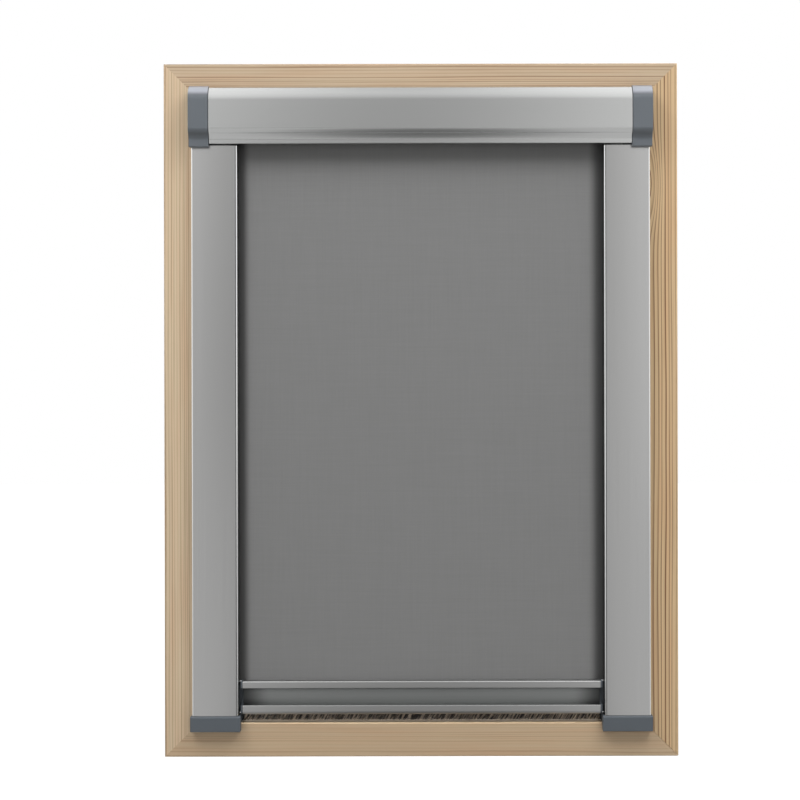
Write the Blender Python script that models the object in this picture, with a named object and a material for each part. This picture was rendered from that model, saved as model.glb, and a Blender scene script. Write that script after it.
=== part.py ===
# Roof window sash with a blackout roller blind, as one assembly of separate pieces.
# Lengths are in millimetres here and become metres as each vertex is made (+X right, +Z up, +Y to the back).
# The origin is the middle of the sash's back face. Depths are counted backwards from the sash's front face,
# so a depth below zero stands proud of the timber, towards the room.

import math
import random

import bmesh
import bpy
from mathutils import Matrix, Vector

MM = 0.001
CLEARANCE = 0.3

# Pine sash
SASH_WIDTH = 513.0
SASH_HEIGHT = 692.0
SASH_DEPTH = 44.0
MEMBER_WIDTH = 34.0
ARRIS_RADIUS = 1.2
MITRE_GAP = 0.15
KEY_LENGTH = 24.0
KEY_WIDTH = 20.0
KEY_THICKNESS = 4.0

INNER_X = SASH_WIDTH / 2 - MEMBER_WIDTH
INNER_Z = SASH_HEIGHT / 2 - MEMBER_WIDTH

# Cassette across the top
CASSETTE_HALF = 209.4
CASSETTE_TOP = 321.3
CASSETTE_FRONT = -20.0
CASSETTE_BOTTOM = 264.2
SHOULDER_RADIUS = 12.0
SWEEP_TOP = 279.1
SWEEP_OUTER_RADIUS = 6.0
SWEEP_INNER_RADIUS = 8.0
SWEEP_ANGLE = 55.0
WALL = 1.2
BASE_TOP = 305.2
BASE_BACK = 31.9
BASE_LIP = 15.5
BASE_BOTTOM = 264.5

# Plastic end caps of the cassette
CAP_PROUD = 0.9
CAP_WALL = 2.0
CAP_LENGTH = 20.0
CAP_BOTTOM = 260.8
CAP_ROUNDING = 0.5

# Roller
ROLLER_DEPTH = 15.65
ROLLER_HEIGHT = 285.5
TUBE_RADIUS = 11.0
TUBE_WALL = 1.0
TUBE_HALF = 203.0
SHAFT_SIDE = 5.0
PIN_RADIUS = 3.0
BEARING_RADIUS = 7.0

# Fabric. It hangs from the front of the roller, and its margins bend back into the rails' slots.
FABRIC_DEPTH = 3.5
FABRIC_THICKNESS = 0.4
FABRIC_HALF = 191.5
BEND_START = 172.0
BEND_FULL = 178.0
BEND_END = 182.5
BEND_FLAT = 187.0
BEND_SLOPE = 0.77
PANEL_TOP = 271.6
MARGIN_BOTTOM = -269.5
HEM_HALF = 171.0

# Side rails
RAIL_INNER = 182.2
RAIL_OUTER = 228.0
RAIL_FRONT = -9.0
RAIL_CORNER = 1.2
RAIL_TOP = 263.1
RAIL_BOTTOM = -303.7
SLOT_FRONT = 8.5
SLOT_BACK = 13.5
SLOT_END = 198.5
LEG_OUTER = 222.2
LEG_WALL = 1.5
LEG_BACK = 26.0
RAIL_SCREW_HEIGHTS = (225.0, -20.0, -265.0)
RAIL_SCREW_DEPTH = 5.0

# Foot caps at the lower ends of the rails
FOOT_INNER = 180.0
FOOT_OUTER = 229.8
FOOT_FRONT = -10.6
FOOT_TOP = -304.0
FOOT_BOTTOM = -319.5
FOOT_CHAMFER = 1.4

# Bottom bar
BAR_HALF = 178.3
BAR_TOP = -270.0
BAR_FRONT = -4.5
BAR_BACK = 15.0
BAR_BOTTOM = -303.3
BAR_LIP_BOTTOM = -277.0
BAR_LOWER_LIP_TOP = -294.0
GROOVE_EDGE = 6.0
GROOVE_SAG = 2.4
FOOT_RADIUS = 4.3
BAR_END_WALL = 1.5
HEM_HEIGHT = -273.4
HEM_RADIUS = 1.6

# Brush seal under the bottom bar
PILE_HALF = 177.6
PILE_FRONT = 9.6
PILE_BACK = 12.4
PILE_COLUMNS = 186
PILE_ROWS = 2
PILE_TOP = -302.1
PILE_SLICE = 0.9
PILE_TIPS = -311.7

# Screws
SHANK_RADIUS = 1.6
HEAD_RADIUS = 3.2
HEAD_HEIGHT = 1.9
SCREW_LENGTH = 14.5
BRACKET_CENTRE = 150.0
BRACKET_HALF = 15.0
BRACKET_THICKNESS = 1.5
BRACKET_SCREW_DEPTHS = (8.0, 20.0)


def clear_scene():
    for obj in list(bpy.data.objects):
        bpy.data.objects.remove(obj, do_unlink=True)


def linear(channel):
    if channel <= 0.04045:
        return channel / 12.92
    return ((channel + 0.055) / 1.055) ** 2.4


def make_material(name, hex_colour, roughness, metallic=0.0):
    material = bpy.data.materials.new(name)
    material.use_nodes = True
    shader = material.node_tree.nodes["Principled BSDF"]
    channels = [int(hex_colour[i : i + 2], 16) / 255 for i in (0, 2, 4)]
    shader.inputs["Base Color"].default_value = [linear(c) for c in channels] + [1.0]
    shader.inputs["Roughness"].default_value = roughness
    shader.inputs["Metallic"].default_value = metallic
    return material


def depth(value):
    return value - SASH_DEPTH


def arc(centre, radius, start, end, steps):
    # Points round an arc from one angle to the other, in degrees
    angles = [math.radians(start + (end - start) * i / steps) for i in range(steps + 1)]
    return [(centre[0] + radius * math.cos(a), centre[1] + radius * math.sin(a)) for a in angles]


def box_outline(low_a, low_b, high_a, high_b):
    return [(low_a, low_b), (high_a, low_b), (high_a, high_b), (low_a, high_b)]


def finish(name, bm, material, parent, bevel=0.0):
    # Turns a bmesh into an object. Its mesh is in place and it stays there under its parent.
    bmesh.ops.remove_doubles(bm, verts=bm.verts, dist=1e-7)
    bmesh.ops.recalc_face_normals(bm, faces=bm.faces)
    mesh = bpy.data.meshes.new(name)
    bm.to_mesh(mesh)
    bm.free()
    obj = bpy.data.objects.new(name, mesh)
    bpy.context.collection.objects.link(obj)
    mesh.materials.append(material)
    mesh.shade_smooth()
    mesh.set_sharp_from_angle(angle=math.radians(30))
    if parent:
        obj.parent = parent
        obj.matrix_parent_inverse = Matrix.Translation(-parent.location)
    if bevel:
        modifier = obj.modifiers.new("rounded_edges", "BEVEL")
        modifier.width = bevel * MM
        modifier.segments = 1
        modifier.limit_method = "ANGLE"
        modifier.angle_limit = math.radians(50)
    return obj


def sweep(bm, outline, axis, start, end):
    # Extrudes an outline into the bmesh. Along X it is read as (depth, height),
    # along Z as (across, depth) and along Y as (across, height).
    def place(a, b, along):
        if axis == "X":
            return Vector((along, depth(a), b)) * MM
        if axis == "Z":
            return Vector((a, depth(b), along)) * MM
        return Vector((a, depth(along), b)) * MM

    face = bm.faces.new([bm.verts.new(place(a, b, start)) for a, b in outline])
    made = bmesh.ops.extrude_face_region(bm, geom=[face])
    moved = [v for v in made["geom"] if isinstance(v, bmesh.types.BMVert)]
    shift = place(outline[0][0], outline[0][1], end) - place(outline[0][0], outline[0][1], start)
    bmesh.ops.translate(bm, verts=moved, vec=shift)


def extrusion(name, outline, axis, start, end, material, parent=None, bevel=0.0):
    bm = bmesh.new()
    sweep(bm, outline, axis, start, end)
    return finish(name, bm, material, parent, bevel)


def combine(obj, operation, parts):
    # Joins or cuts the object with a helper made of swept outlines or rods, which isn't itself a piece.
    for number, part in enumerate(parts):
        bm = bmesh.new()
        if part[0] == "rod":
            rod(bm, *part[1:])
        else:
            sweep(bm, *part)
        helper = finish(f"{obj.name}_{operation.lower()}_{number}", bm, obj.data.materials[0], None)
        helper.hide_render = True
        helper.display_type = "WIRE"
        modifier = obj.modifiers.new(helper.name, "BOOLEAN")
        modifier.operation = operation
        modifier.object = helper
        modifier.solver = "EXACT"


def rod(bm, centre, radius, axis, start, end, sides=12):
    # A round rod along X, Y or Z. Its centre is given as two values, in the order that sweep reads them.
    turn = 180 / sides
    sweep(bm, arc(centre, radius, turn, 360 + turn, sides)[:-1], axis, start, end)


def turned(name, profile, centre, material, parent, sides=24):
    # Turns a profile of (along X, radius) about a line along X through the centre (depth, height).
    bm = bmesh.new()
    middle = Vector((0, depth(centre[0]), centre[1])) * MM
    verts = [bm.verts.new(middle + Vector((x * MM, 0, r * MM))) for x, r in profile]
    edges = [bm.edges.new((a, b)) for a, b in zip(verts, verts[1:] + verts[:1])]
    bmesh.ops.spin(
        bm, geom=verts + edges, cent=middle, axis=(1, 0, 0), angle=math.tau, steps=sides, use_merge=True
    )
    return finish(name, bm, material, parent)


def mitred_member(name, lengthwise, side, material, parent):
    # One sash member. Its section runs from the opening outwards and its ends are cut at 45 degrees.
    inner = INNER_Z if lengthwise == "X" else INNER_X
    cross = INNER_X if lengthwise == "X" else INNER_Z
    outer_arc = arc((MEMBER_WIDTH - ARRIS_RADIUS, ARRIS_RADIUS), ARRIS_RADIUS, 0, -90, 3)
    inner_arc = arc((ARRIS_RADIUS, ARRIS_RADIUS), ARRIS_RADIUS, -90, -180, 3)
    section = [(0, SASH_DEPTH), (MEMBER_WIDTH, SASH_DEPTH)] + outer_arc + inner_arc
    bm = bmesh.new()
    rings = []
    for end in (-1, 1):
        ring = []
        for out, back in section:
            along = end * (cross + out - MITRE_GAP)
            away = side * (inner + out)
            place = (along, depth(back), away) if lengthwise == "X" else (away, depth(back), along)
            ring.append(bm.verts.new(Vector(place) * MM))
        rings.append(bm.faces.new(ring))
    bmesh.ops.bridge_loops(bm, edges=[edge for ring in rings for edge in ring.edges])
    return finish(name, bm, material, parent)


def key_outline(centre, turn, grow):
    # The loose tongue's outline across a mitre, seen from the front
    half_length = KEY_LENGTH / 2 + grow
    half_width = KEY_WIDTH / 2 + grow
    rotation = Matrix.Rotation(math.radians(turn), 2)
    corners = [Vector(c) for c in box_outline(-half_length, -half_width, half_length, half_width)]
    return [tuple(rotation @ corner + Vector(centre)) for corner in corners]


def build_sash(pine, beech, parent):
    head = mitred_member("sash_head", "X", 1, pine, parent)
    sill = mitred_member("sash_sill", "X", -1, pine, parent)
    left = mitred_member("sash_stile_left", "Z", -1, pine, parent)
    right = mitred_member("sash_stile_right", "Z", 1, pine, parent)
    middle = SASH_DEPTH / 2
    low, high = middle - KEY_THICKNESS / 2, middle + KEY_THICKNESS / 2
    for member, stile, vertical, sideways in (
        (head, left, "top", "left"),
        (head, right, "top", "right"),
        (sill, left, "bottom", "left"),
        (sill, right, "bottom", "right"),
    ):
        x = (INNER_X + MEMBER_WIDTH / 2) * (1 if sideways == "right" else -1)
        z = (INNER_Z + MEMBER_WIDTH / 2) * (1 if vertical == "top" else -1)
        turn = -45 if x * z > 0 else 45
        extrusion(f"corner_key_{vertical}_{sideways}", key_outline((x, z), turn, 0), "Y", low, high, beech, parent)
        slot = (key_outline((x, z), turn, CLEARANCE), "Y", low - CLEARANCE, high + CLEARANCE)
        combine(member, "DIFFERENCE", [slot])
        combine(stile, "DIFFERENCE", [slot])
    combine(
        head,
        "DIFFERENCE",
        [
            ("rod", (x, back), SHANK_RADIUS + CLEARANCE, "Z", INNER_Z - 1, INNER_Z + SCREW_LENGTH)
            for x in (-BRACKET_CENTRE, BRACKET_CENTRE)
            for back in BRACKET_SCREW_DEPTHS
        ],
    )
    for stile, side in ((left, -1), (right, 1)):
        combine(
            stile,
            "DIFFERENCE",
            [
                ("rod", (RAIL_SCREW_DEPTH, z), SHANK_RADIUS + CLEARANCE, "X", side * (INNER_X - 1),
                 side * (INNER_X + SCREW_LENGTH))
                for z in RAIL_SCREW_HEIGHTS
            ],
        )


def cassette_face(grow):
    # The cassette's front, from its top edge round the shoulder and down the swept lower edge,
    # moved outwards by grow. The three arcs share tangents.
    shoulder = (CASSETTE_FRONT + SHOULDER_RADIUS, CASSETTE_TOP - SHOULDER_RADIUS)
    upper = (CASSETTE_FRONT + SWEEP_OUTER_RADIUS, SWEEP_TOP)
    turn = math.radians(180 + SWEEP_ANGLE)
    reach = SWEEP_OUTER_RADIUS + SWEEP_INNER_RADIUS
    lower = (upper[0] + reach * math.cos(turn), upper[1] + reach * math.sin(turn))
    return (
        arc(shoulder, SHOULDER_RADIUS + grow, 90, 180, 8)
        + arc(upper, SWEEP_OUTER_RADIUS + grow, 180, 180 + SWEEP_ANGLE, 5)
        + arc(lower, SWEEP_INNER_RADIUS - grow, SWEEP_ANGLE, 0, 5)[1:]
    )


def build_cassette(aluminium, steel, plastic, parent):
    outside = cassette_face(0)
    inside = cassette_face(-WALL)
    lip = outside[-1][0]
    cover = (
        [(-1.7, 313.4), (-0.5, 313.4), (-0.5, CASSETTE_TOP)]
        + outside
        + [(lip, CASSETTE_BOTTOM + 0.5), (lip + 0.5, CASSETTE_BOTTOM), (-5.0, CASSETTE_BOTTOM)]
        + [(-5.0, CASSETTE_BOTTOM + WALL), (lip + WALL, CASSETTE_BOTTOM + WALL)]
        + inside[::-1]
        + [(-7.7, CASSETTE_TOP - WALL), (-7.7, 308.0), (-6.5, 308.0), (-6.5, CASSETTE_TOP - WALL)]
        + [(-1.7, CASSETTE_TOP - WALL)]
    )
    extrusion("cassette_cover", cover, "X", -CASSETTE_HALF, CASSETTE_HALF, aluminium, parent)
    hook_under = INNER_Z + 0.2
    base = [
        (-2.6, hook_under), (-5.0, hook_under), (-5.0, BASE_TOP), (BASE_BACK, BASE_TOP),
        (BASE_BACK, BASE_BOTTOM), (BASE_LIP, BASE_BOTTOM), (BASE_LIP, BASE_BOTTOM + WALL),
        (BASE_BACK - WALL, BASE_BOTTOM + WALL), (BASE_BACK - WALL, BASE_TOP - WALL),
        (-6.2, BASE_TOP - WALL), (-6.2, hook_under + WALL), (-2.6, hook_under + WALL),
    ]
    extrusion("cassette_base", base, "X", -CASSETTE_HALF, CASSETTE_HALF, aluminium, parent)

    plate_top = INNER_Z - CLEARANCE
    plate_bottom = plate_top - BRACKET_THICKNESS
    leg_front = BASE_BACK + CLEARANCE
    bracket = [
        (-4.6, plate_bottom), (-4.6, plate_top), (leg_front + BRACKET_THICKNESS, plate_top),
        (leg_front + BRACKET_THICKNESS, 288.0), (leg_front, 288.0), (leg_front, plate_bottom),
    ]
    for name, centre in (("left", -BRACKET_CENTRE), ("right", BRACKET_CENTRE)):
        plate = extrusion(
            f"bracket_{name}", bracket, "X", centre - BRACKET_HALF, centre + BRACKET_HALF, steel, parent
        )
        combine(
            plate,
            "DIFFERENCE",
            [
                ("rod", (centre, back), SHANK_RADIUS + CLEARANCE, "Z", plate_bottom - 1, plate_top + 1)
                for back in BRACKET_SCREW_DEPTHS
            ],
        )
        for number, back in enumerate(BRACKET_SCREW_DEPTHS, 1):
            screw = make_screw(f"bracket_screw_{name}_{number}", steel, parent)
            screw.location = Vector((centre, depth(back), plate_bottom - CLEARANCE)) * MM
            screw.rotation_euler = (0, -math.pi / 2, 0)
    for name, side in (("left", -1), ("right", 1)):
        build_end_cap(name, side, plastic, parent)


def build_end_cap(name, side, plastic, parent):
    inner = side * (CASSETTE_HALF + CLEARANCE)
    outer = inner + side * CAP_LENGTH
    face = cassette_face(CAP_PROUD)
    back = -0.5
    outline = (
        [(back, RAIL_TOP + CLEARANCE), (back, CASSETTE_TOP + CAP_PROUD)]
        + face
        + [(face[-1][0], CAP_BOTTOM), (RAIL_FRONT - 0.6, CAP_BOTTOM), (RAIL_FRONT - 0.6, RAIL_TOP + CLEARANCE)]
    )
    cap = extrusion(f"end_cap_{name}", outline, "X", inner, outer, plastic, parent, bevel=CAP_ROUNDING)
    hollow = cassette_face(CAP_PROUD - CAP_WALL)
    pocket_bottom = RAIL_TOP + CLEARANCE + CAP_WALL
    pocket = (
        [(back - CAP_WALL, pocket_bottom), (back - CAP_WALL, CASSETTE_TOP + CAP_PROUD - CAP_WALL)]
        + hollow
        + [(hollow[-1][0], pocket_bottom)]
    )
    plate = box_outline(-8.0, pocket_bottom + 0.6, BASE_BACK, BASE_TOP - 0.5)
    lug = box_outline(-16.0, 308.0, -9.0, 316.0)
    rear_lug = box_outline(BASE_BACK - 4.7, 268.0, BASE_BACK - 1.7, 300.0)
    centre = (ROLLER_DEPTH, ROLLER_HEIGHT)
    combine(cap, "DIFFERENCE", [(pocket, "X", inner - side, outer - side * CAP_WALL)])
    combine(
        cap,
        "UNION",
        [
            (plate, "X", inner, inner + side * 2.5),
            (lug, "X", inner - side * 8.0, outer - side),
            (rear_lug, "X", inner - side * 8.0, inner + side),
            ("rod", centre, BEARING_RADIUS, "X", inner + side, inner + side * 7.0, 24),
        ],
    )
    # The spring shaft is square and held still, and the idle pin is round and turns.
    if side < 0:
        half = SHAFT_SIDE / 2 + CLEARANCE
        hole = (
            box_outline(centre[0] - half, centre[1] - half, centre[0] + half, centre[1] + half),
            "X",
            inner - side,
            inner + side * 5,
        )
    else:
        hole = ("rod", centre, PIN_RADIUS + CLEARANCE, "X", inner - side, inner + side * 5, 16)
    combine(cap, "DIFFERENCE", [hole])


def make_screw(name, steel, parent):
    # A pan head wood screw. It lies along X with its tip at +X and the underside of its head at the origin.
    bm = bmesh.new()
    profile = [
        (-HEAD_HEIGHT, 0.0), (-HEAD_HEIGHT, HEAD_RADIUS * 0.7), (-HEAD_HEIGHT * 0.6, HEAD_RADIUS * 0.95),
        (0.0, HEAD_RADIUS), (0.0, SHANK_RADIUS), (SCREW_LENGTH - 3.5, SHANK_RADIUS), (SCREW_LENGTH - 0.5, 0.0),
    ]
    verts = [bm.verts.new(Vector((x, 0, r)) * MM) for x, r in profile]
    edges = [bm.edges.new((a, b)) for a, b in zip(verts, verts[1:])]
    bmesh.ops.spin(
        bm, geom=verts + edges, cent=(0, 0, 0), axis=(1, 0, 0), angle=math.tau, steps=12, use_merge=True
    )
    screw = finish(name, bm, steel, None)
    screw.parent = parent
    return screw


def build_roller(aluminium, plastic, steel, fabric, still, turning):
    centre = (ROLLER_DEPTH, ROLLER_HEIGHT)
    inside = TUBE_RADIUS - TUBE_WALL
    tube = [(-TUBE_HALF, inside), (-TUBE_HALF, TUBE_RADIUS), (TUBE_HALF, TUBE_RADIUS), (TUBE_HALF, inside)]
    turned("roller_tube", tube, centre, aluminium, turning)

    roll_inside = TUBE_RADIUS + CLEARANCE
    roll_outside = ROLLER_DEPTH - FABRIC_DEPTH - FABRIC_THICKNESS / 2 - CLEARANCE
    roll = [
        (-FABRIC_HALF, roll_inside), (-FABRIC_HALF, roll_outside), (FABRIC_HALF, roll_outside),
        (FABRIC_HALF, roll_inside),
    ]
    turned("fabric_roll", roll, centre, fabric, turning)

    body = inside - CLEARANCE
    plug_end = TUBE_HALF - 20.0
    flange_in = TUBE_HALF + CLEARANCE
    flange_out = TUBE_HALF + 2.5
    for name, side, bore in (("spring_plug", -1, 4.0), ("idle_plug", 1, PIN_RADIUS + CLEARANCE)):
        profile = [
            (side * plug_end, bore), (side * plug_end, body), (side * flange_in, body),
            (side * flange_in, TUBE_RADIUS), (side * flange_out, TUBE_RADIUS), (side * flange_out, bore),
        ]
        turned(name, profile, centre, plastic, turning)

    pin = [(190.0, 0.0), (190.0, PIN_RADIUS), (213.0, PIN_RADIUS), (214.0, PIN_RADIUS - 1.0), (214.0, 0.0)]
    bm = bmesh.new()
    middle = Vector((0, depth(centre[0]), centre[1])) * MM
    verts = [bm.verts.new(middle + Vector((x, 0, r)) * MM) for x, r in pin]
    edges = [bm.edges.new((a, b)) for a, b in zip(verts, verts[1:])]
    bmesh.ops.spin(
        bm, geom=verts + edges, cent=middle, axis=(1, 0, 0), angle=math.tau, steps=16, use_merge=True
    )
    finish("idle_pin", bm, steel, turning)

    half = SHAFT_SIDE / 2
    shaft = box_outline(centre[0] - half, centre[1] - half, centre[0] + half, centre[1] + half)
    extrusion("spring_shaft", shaft, "X", -214.0, -40.0, steel, still)
    anchor_radius = inside - 1.0
    anchor_outline = arc(centre, anchor_radius, 0, 360, 24)[:-1]
    anchor = extrusion("spring_anchor", anchor_outline, "X", -52.0, -42.0, plastic, still)
    grown = half + CLEARANCE
    square = box_outline(centre[0] - grown, centre[1] - grown, centre[0] + grown, centre[1] + grown)
    combine(anchor, "DIFFERENCE", [(square, "X", -53.0, -41.0)])
    build_spring(steel, still)


def build_spring(steel, parent):
    # The torsion spring round the shaft: one unbroken coil of round wire
    turns, points_per_turn = 18, 8
    coil_radius, wire_radius = 6.5, 0.7
    start, end = -181.0, -54.0
    count = turns * points_per_turn
    pitch = (end - start) / turns
    print(f"torsion spring: {turns} turns, gap between turns {pitch - 2 * wire_radius:.2f} mm")
    curve = bpy.data.curves.new("torsion_spring", "CURVE")
    curve.dimensions = "3D"
    curve.bevel_depth = wire_radius * MM
    curve.bevel_resolution = 0
    curve.use_fill_caps = True
    spline = curve.splines.new("POLY")
    spline.points.add(count)
    for i in range(count + 1):
        angle = math.tau * i / points_per_turn
        x = start + (end - start) * i / count
        y = depth(ROLLER_DEPTH) + coil_radius * math.cos(angle)
        z = ROLLER_HEIGHT + coil_radius * math.sin(angle)
        spline.points[i].co = (x * MM, y * MM, z * MM, 1)
    curve.materials.append(steel)
    obj = bpy.data.objects.new("torsion_spring", curve)
    bpy.context.collection.objects.link(obj)
    obj.parent = parent


def smooth_area(value, low, high):
    # The area under a smooth step that rises from low to high, up to value
    share = min(max((value - low) / (high - low), 0.0), 1.0)
    return (high - low) * (share**3 - share**4 / 2) + max(value - high, 0.0)


def cloth_depth(across):
    away = abs(across)
    return FABRIC_DEPTH + BEND_SLOPE * (
        smooth_area(away, BEND_START, BEND_FULL) - smooth_area(away, BEND_END, BEND_FLAT)
    )


def cloth_sheet(name, rows, depth_at, left_out, fabric, parent):
    # A sheet of cloth as a grid whose columns lie closer together where the margins bend
    columns = [HEM_HALF, BEND_START, 174.0, 176.0, BEND_FULL, 180.0, 182.2, 183.5, 185.0, BEND_FLAT, FABRIC_HALF]
    columns = [-across for across in columns[::-1]] + [0.0] + columns
    bm = bmesh.new()
    bmesh.ops.create_grid(bm, x_segments=len(columns) - 1, y_segments=len(rows) - 1, size=0.5)
    for vert in bm.verts:
        across = columns[round((vert.co.x + 0.5) * (len(columns) - 1))]
        height = rows[round((vert.co.y + 0.5) * (len(rows) - 1))]
        front = depth_at(across, height) - FABRIC_THICKNESS / 2
        vert.co = Vector((across, depth(front), height)) * MM
    spare = [face for face in bm.faces if left_out(face.calc_center_median() / MM)]
    bmesh.ops.delete(bm, geom=spare, context="FACES")
    made = bmesh.ops.extrude_face_region(bm, geom=list(bm.faces), use_keep_orig=True)
    moved = [v for v in made["geom"] if isinstance(v, bmesh.types.BMVert)]
    bmesh.ops.translate(bm, verts=moved, vec=(0, FABRIC_THICKNESS * MM, 0))
    return finish(name, bm, fabric, parent)


def build_fabric(fabric, parent):
    # The panel is the cloth in sight. Only the part between its margins goes down into the bottom bar.
    cloth_sheet(
        "fabric_panel",
        [HEM_HEIGHT + HEM_RADIUS + 0.8, MARGIN_BOTTOM, PANEL_TOP],
        lambda across, height: cloth_depth(across),
        lambda middle: middle.z < MARGIN_BOTTOM and abs(middle.x) > HEM_HALF,
        fabric,
        parent,
    )
    # The lead is the short stretch above it, which stays there at every height of the bar. Its margins
    # lie on the roll until they reach the depth of the slots.
    reach = ROLLER_DEPTH - FABRIC_DEPTH

    def lead_depth(across, height):
        drop = ROLLER_HEIGHT - height
        if drop >= reach:
            return cloth_depth(across)
        return min(cloth_depth(across), ROLLER_DEPTH - math.sqrt(reach**2 - drop**2))

    cloth_sheet(
        "fabric_lead",
        [PANEL_TOP + CLEARANCE, 273.5, 274.5, 276.0, 278.0, 281.0, ROLLER_HEIGHT],
        lead_depth,
        lambda middle: False,
        fabric,
        parent,
    )


def build_rail(name, side, aluminium, plastic, steel, parent):
    def mirrored(outline):
        return [(side * u, t) for u, t in outline]

    web_back = SLOT_BACK + WALL
    slot_wall = SLOT_END + WALL
    leg_inner = LEG_OUTER - LEG_WALL
    channel = [
        (RAIL_INNER, SLOT_FRONT - WALL), (slot_wall, SLOT_FRONT - WALL), (slot_wall, SLOT_BACK),
        (205.0, SLOT_BACK), (205.0, 8.0), (206.2, 8.0), (206.2, SLOT_BACK), (leg_inner, SLOT_BACK),
        (leg_inner, -5.0), (LEG_OUTER, -5.0), (LEG_OUTER, LEG_BACK), (leg_inner, LEG_BACK),
        (leg_inner, web_back), (RAIL_INNER, web_back), (RAIL_INNER, SLOT_BACK), (SLOT_END, SLOT_BACK),
        (SLOT_END, SLOT_FRONT), (RAIL_INNER, SLOT_FRONT),
    ]
    rail = extrusion(
        f"rail_channel_{name}", mirrored(channel), "Z", RAIL_BOTTOM, RAIL_TOP, aluminium, parent
    )
    combine(
        rail,
        "DIFFERENCE",
        [
            ("rod", (RAIL_SCREW_DEPTH, z), SHANK_RADIUS + CLEARANCE, "X", side * (leg_inner - 1),
             side * (LEG_OUTER + 1))
            for z in RAIL_SCREW_HEIGHTS
        ],
    )
    for number, z in enumerate(RAIL_SCREW_HEIGHTS, 1):
        screw = make_screw(f"rail_screw_{name}_{number}", steel, parent)
        screw.location = Vector((side * (leg_inner - CLEARANCE), depth(RAIL_SCREW_DEPTH), z)) * MM
        screw.rotation_euler = (0, 0, 0 if side > 0 else math.pi)

    # The snap-on cover: front plate, outer drop on the timber, inner wall and two clips on the upstand
    plate_back = RAIL_FRONT + WALL
    inner_corner = (RAIL_INNER + RAIL_CORNER, RAIL_FRONT + RAIL_CORNER)
    outer_corner = (RAIL_OUTER - RAIL_CORNER, RAIL_FRONT + RAIL_CORNER)
    clips = []
    for edge in (207.7, 204.7):
        clips += [(edge, plate_back), (edge, 11.5), (edge - WALL, 11.5), (edge - WALL, plate_back)]
    cover = (
        [(RAIL_INNER, SLOT_FRONT - WALL - CLEARANCE)]
        + arc(inner_corner, RAIL_CORNER, 180, 270, 3)
        + arc(outer_corner, RAIL_CORNER, 270, 360, 3)
        + [(RAIL_OUTER, -0.5), (RAIL_OUTER - WALL, -0.5), (RAIL_OUTER - WALL, plate_back)]
        + clips
        + [(RAIL_INNER + WALL, plate_back), (RAIL_INNER + WALL, SLOT_FRONT - WALL - CLEARANCE)]
    )
    extrusion(f"rail_cover_{name}", mirrored(cover), "Z", RAIL_BOTTOM, RAIL_TOP, aluminium, parent)
    build_foot_cap(name, side, plastic, parent)


def build_foot_cap(name, side, plastic, parent):
    # The foot cap closes the rail's lower end. It lies on the sill's front face, and a step behind it
    # fills the rail's foot inside the sash opening. Two ribs rise into the rail.
    front = [
        (FOOT_FRONT, FOOT_BOTTOM), (-0.5, FOOT_BOTTOM), (-0.5, FOOT_TOP),
        (FOOT_FRONT + FOOT_CHAMFER, FOOT_TOP), (FOOT_FRONT, FOOT_TOP - FOOT_CHAMFER),
    ]
    cap = extrusion(
        f"foot_cap_{name}", front, "X", side * FOOT_INNER, side * FOOT_OUTER, plastic, parent,
        bevel=CAP_ROUNDING,
    )
    pocket = box_outline(FOOT_FRONT + CAP_WALL, FOOT_BOTTOM + CAP_WALL, -0.5 - CAP_WALL, FOOT_TOP + 1)
    step = box_outline(-1.5, PILE_TIPS, SLOT_BACK + WALL, FOOT_TOP)
    rib = box_outline(RAIL_FRONT + WALL + 0.4, FOOT_BOTTOM + 1, RAIL_FRONT + WALL + 2.0, FOOT_TOP + 12)
    combine(
        cap, "DIFFERENCE", [(pocket, "X", side * (FOOT_INNER + CAP_WALL), side * (FOOT_OUTER - CAP_WALL))]
    )
    combine(
        cap,
        "UNION",
        [
            (step, "X", side * FOOT_INNER, side * LEG_OUTER),
            (rib, "X", side * 187.0, side * 200.0),
            (rib, "X", side * 210.5, side * 219.5),
        ],
    )


def bar_outline():
    # The bottom bar's section: an upper lip, a hollow finger groove and a lower lip with a rounded foot
    chord = BAR_LIP_BOTTOM - BAR_LOWER_LIP_TOP
    radius = (chord**2 / 4 + GROOVE_SAG**2) / (2 * GROOVE_SAG)
    middle = (GROOVE_EDGE + GROOVE_SAG - radius, (BAR_LIP_BOTTOM + BAR_LOWER_LIP_TOP) / 2)
    half_angle = math.degrees(math.asin(chord / 2 / radius))
    foot = (BAR_FRONT + FOOT_RADIUS, BAR_BOTTOM + FOOT_RADIUS)
    return (
        [(BAR_BACK, BAR_BOTTOM), (BAR_BACK, BAR_TOP)]
        + arc((BAR_FRONT + 1.0, BAR_TOP - 1.0), 1.0, 90, 180, 3)
        + [(BAR_FRONT, BAR_LIP_BOTTOM + 0.4), (BAR_FRONT + 0.4, BAR_LIP_BOTTOM)]
        + arc(middle, radius, half_angle, -half_angle, 8)
        + [(BAR_FRONT + 0.5, BAR_LOWER_LIP_TOP), (BAR_FRONT, BAR_LOWER_LIP_TOP - 0.5)]
        + arc(foot, FOOT_RADIUS, 180, 270, 5)
    )


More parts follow.
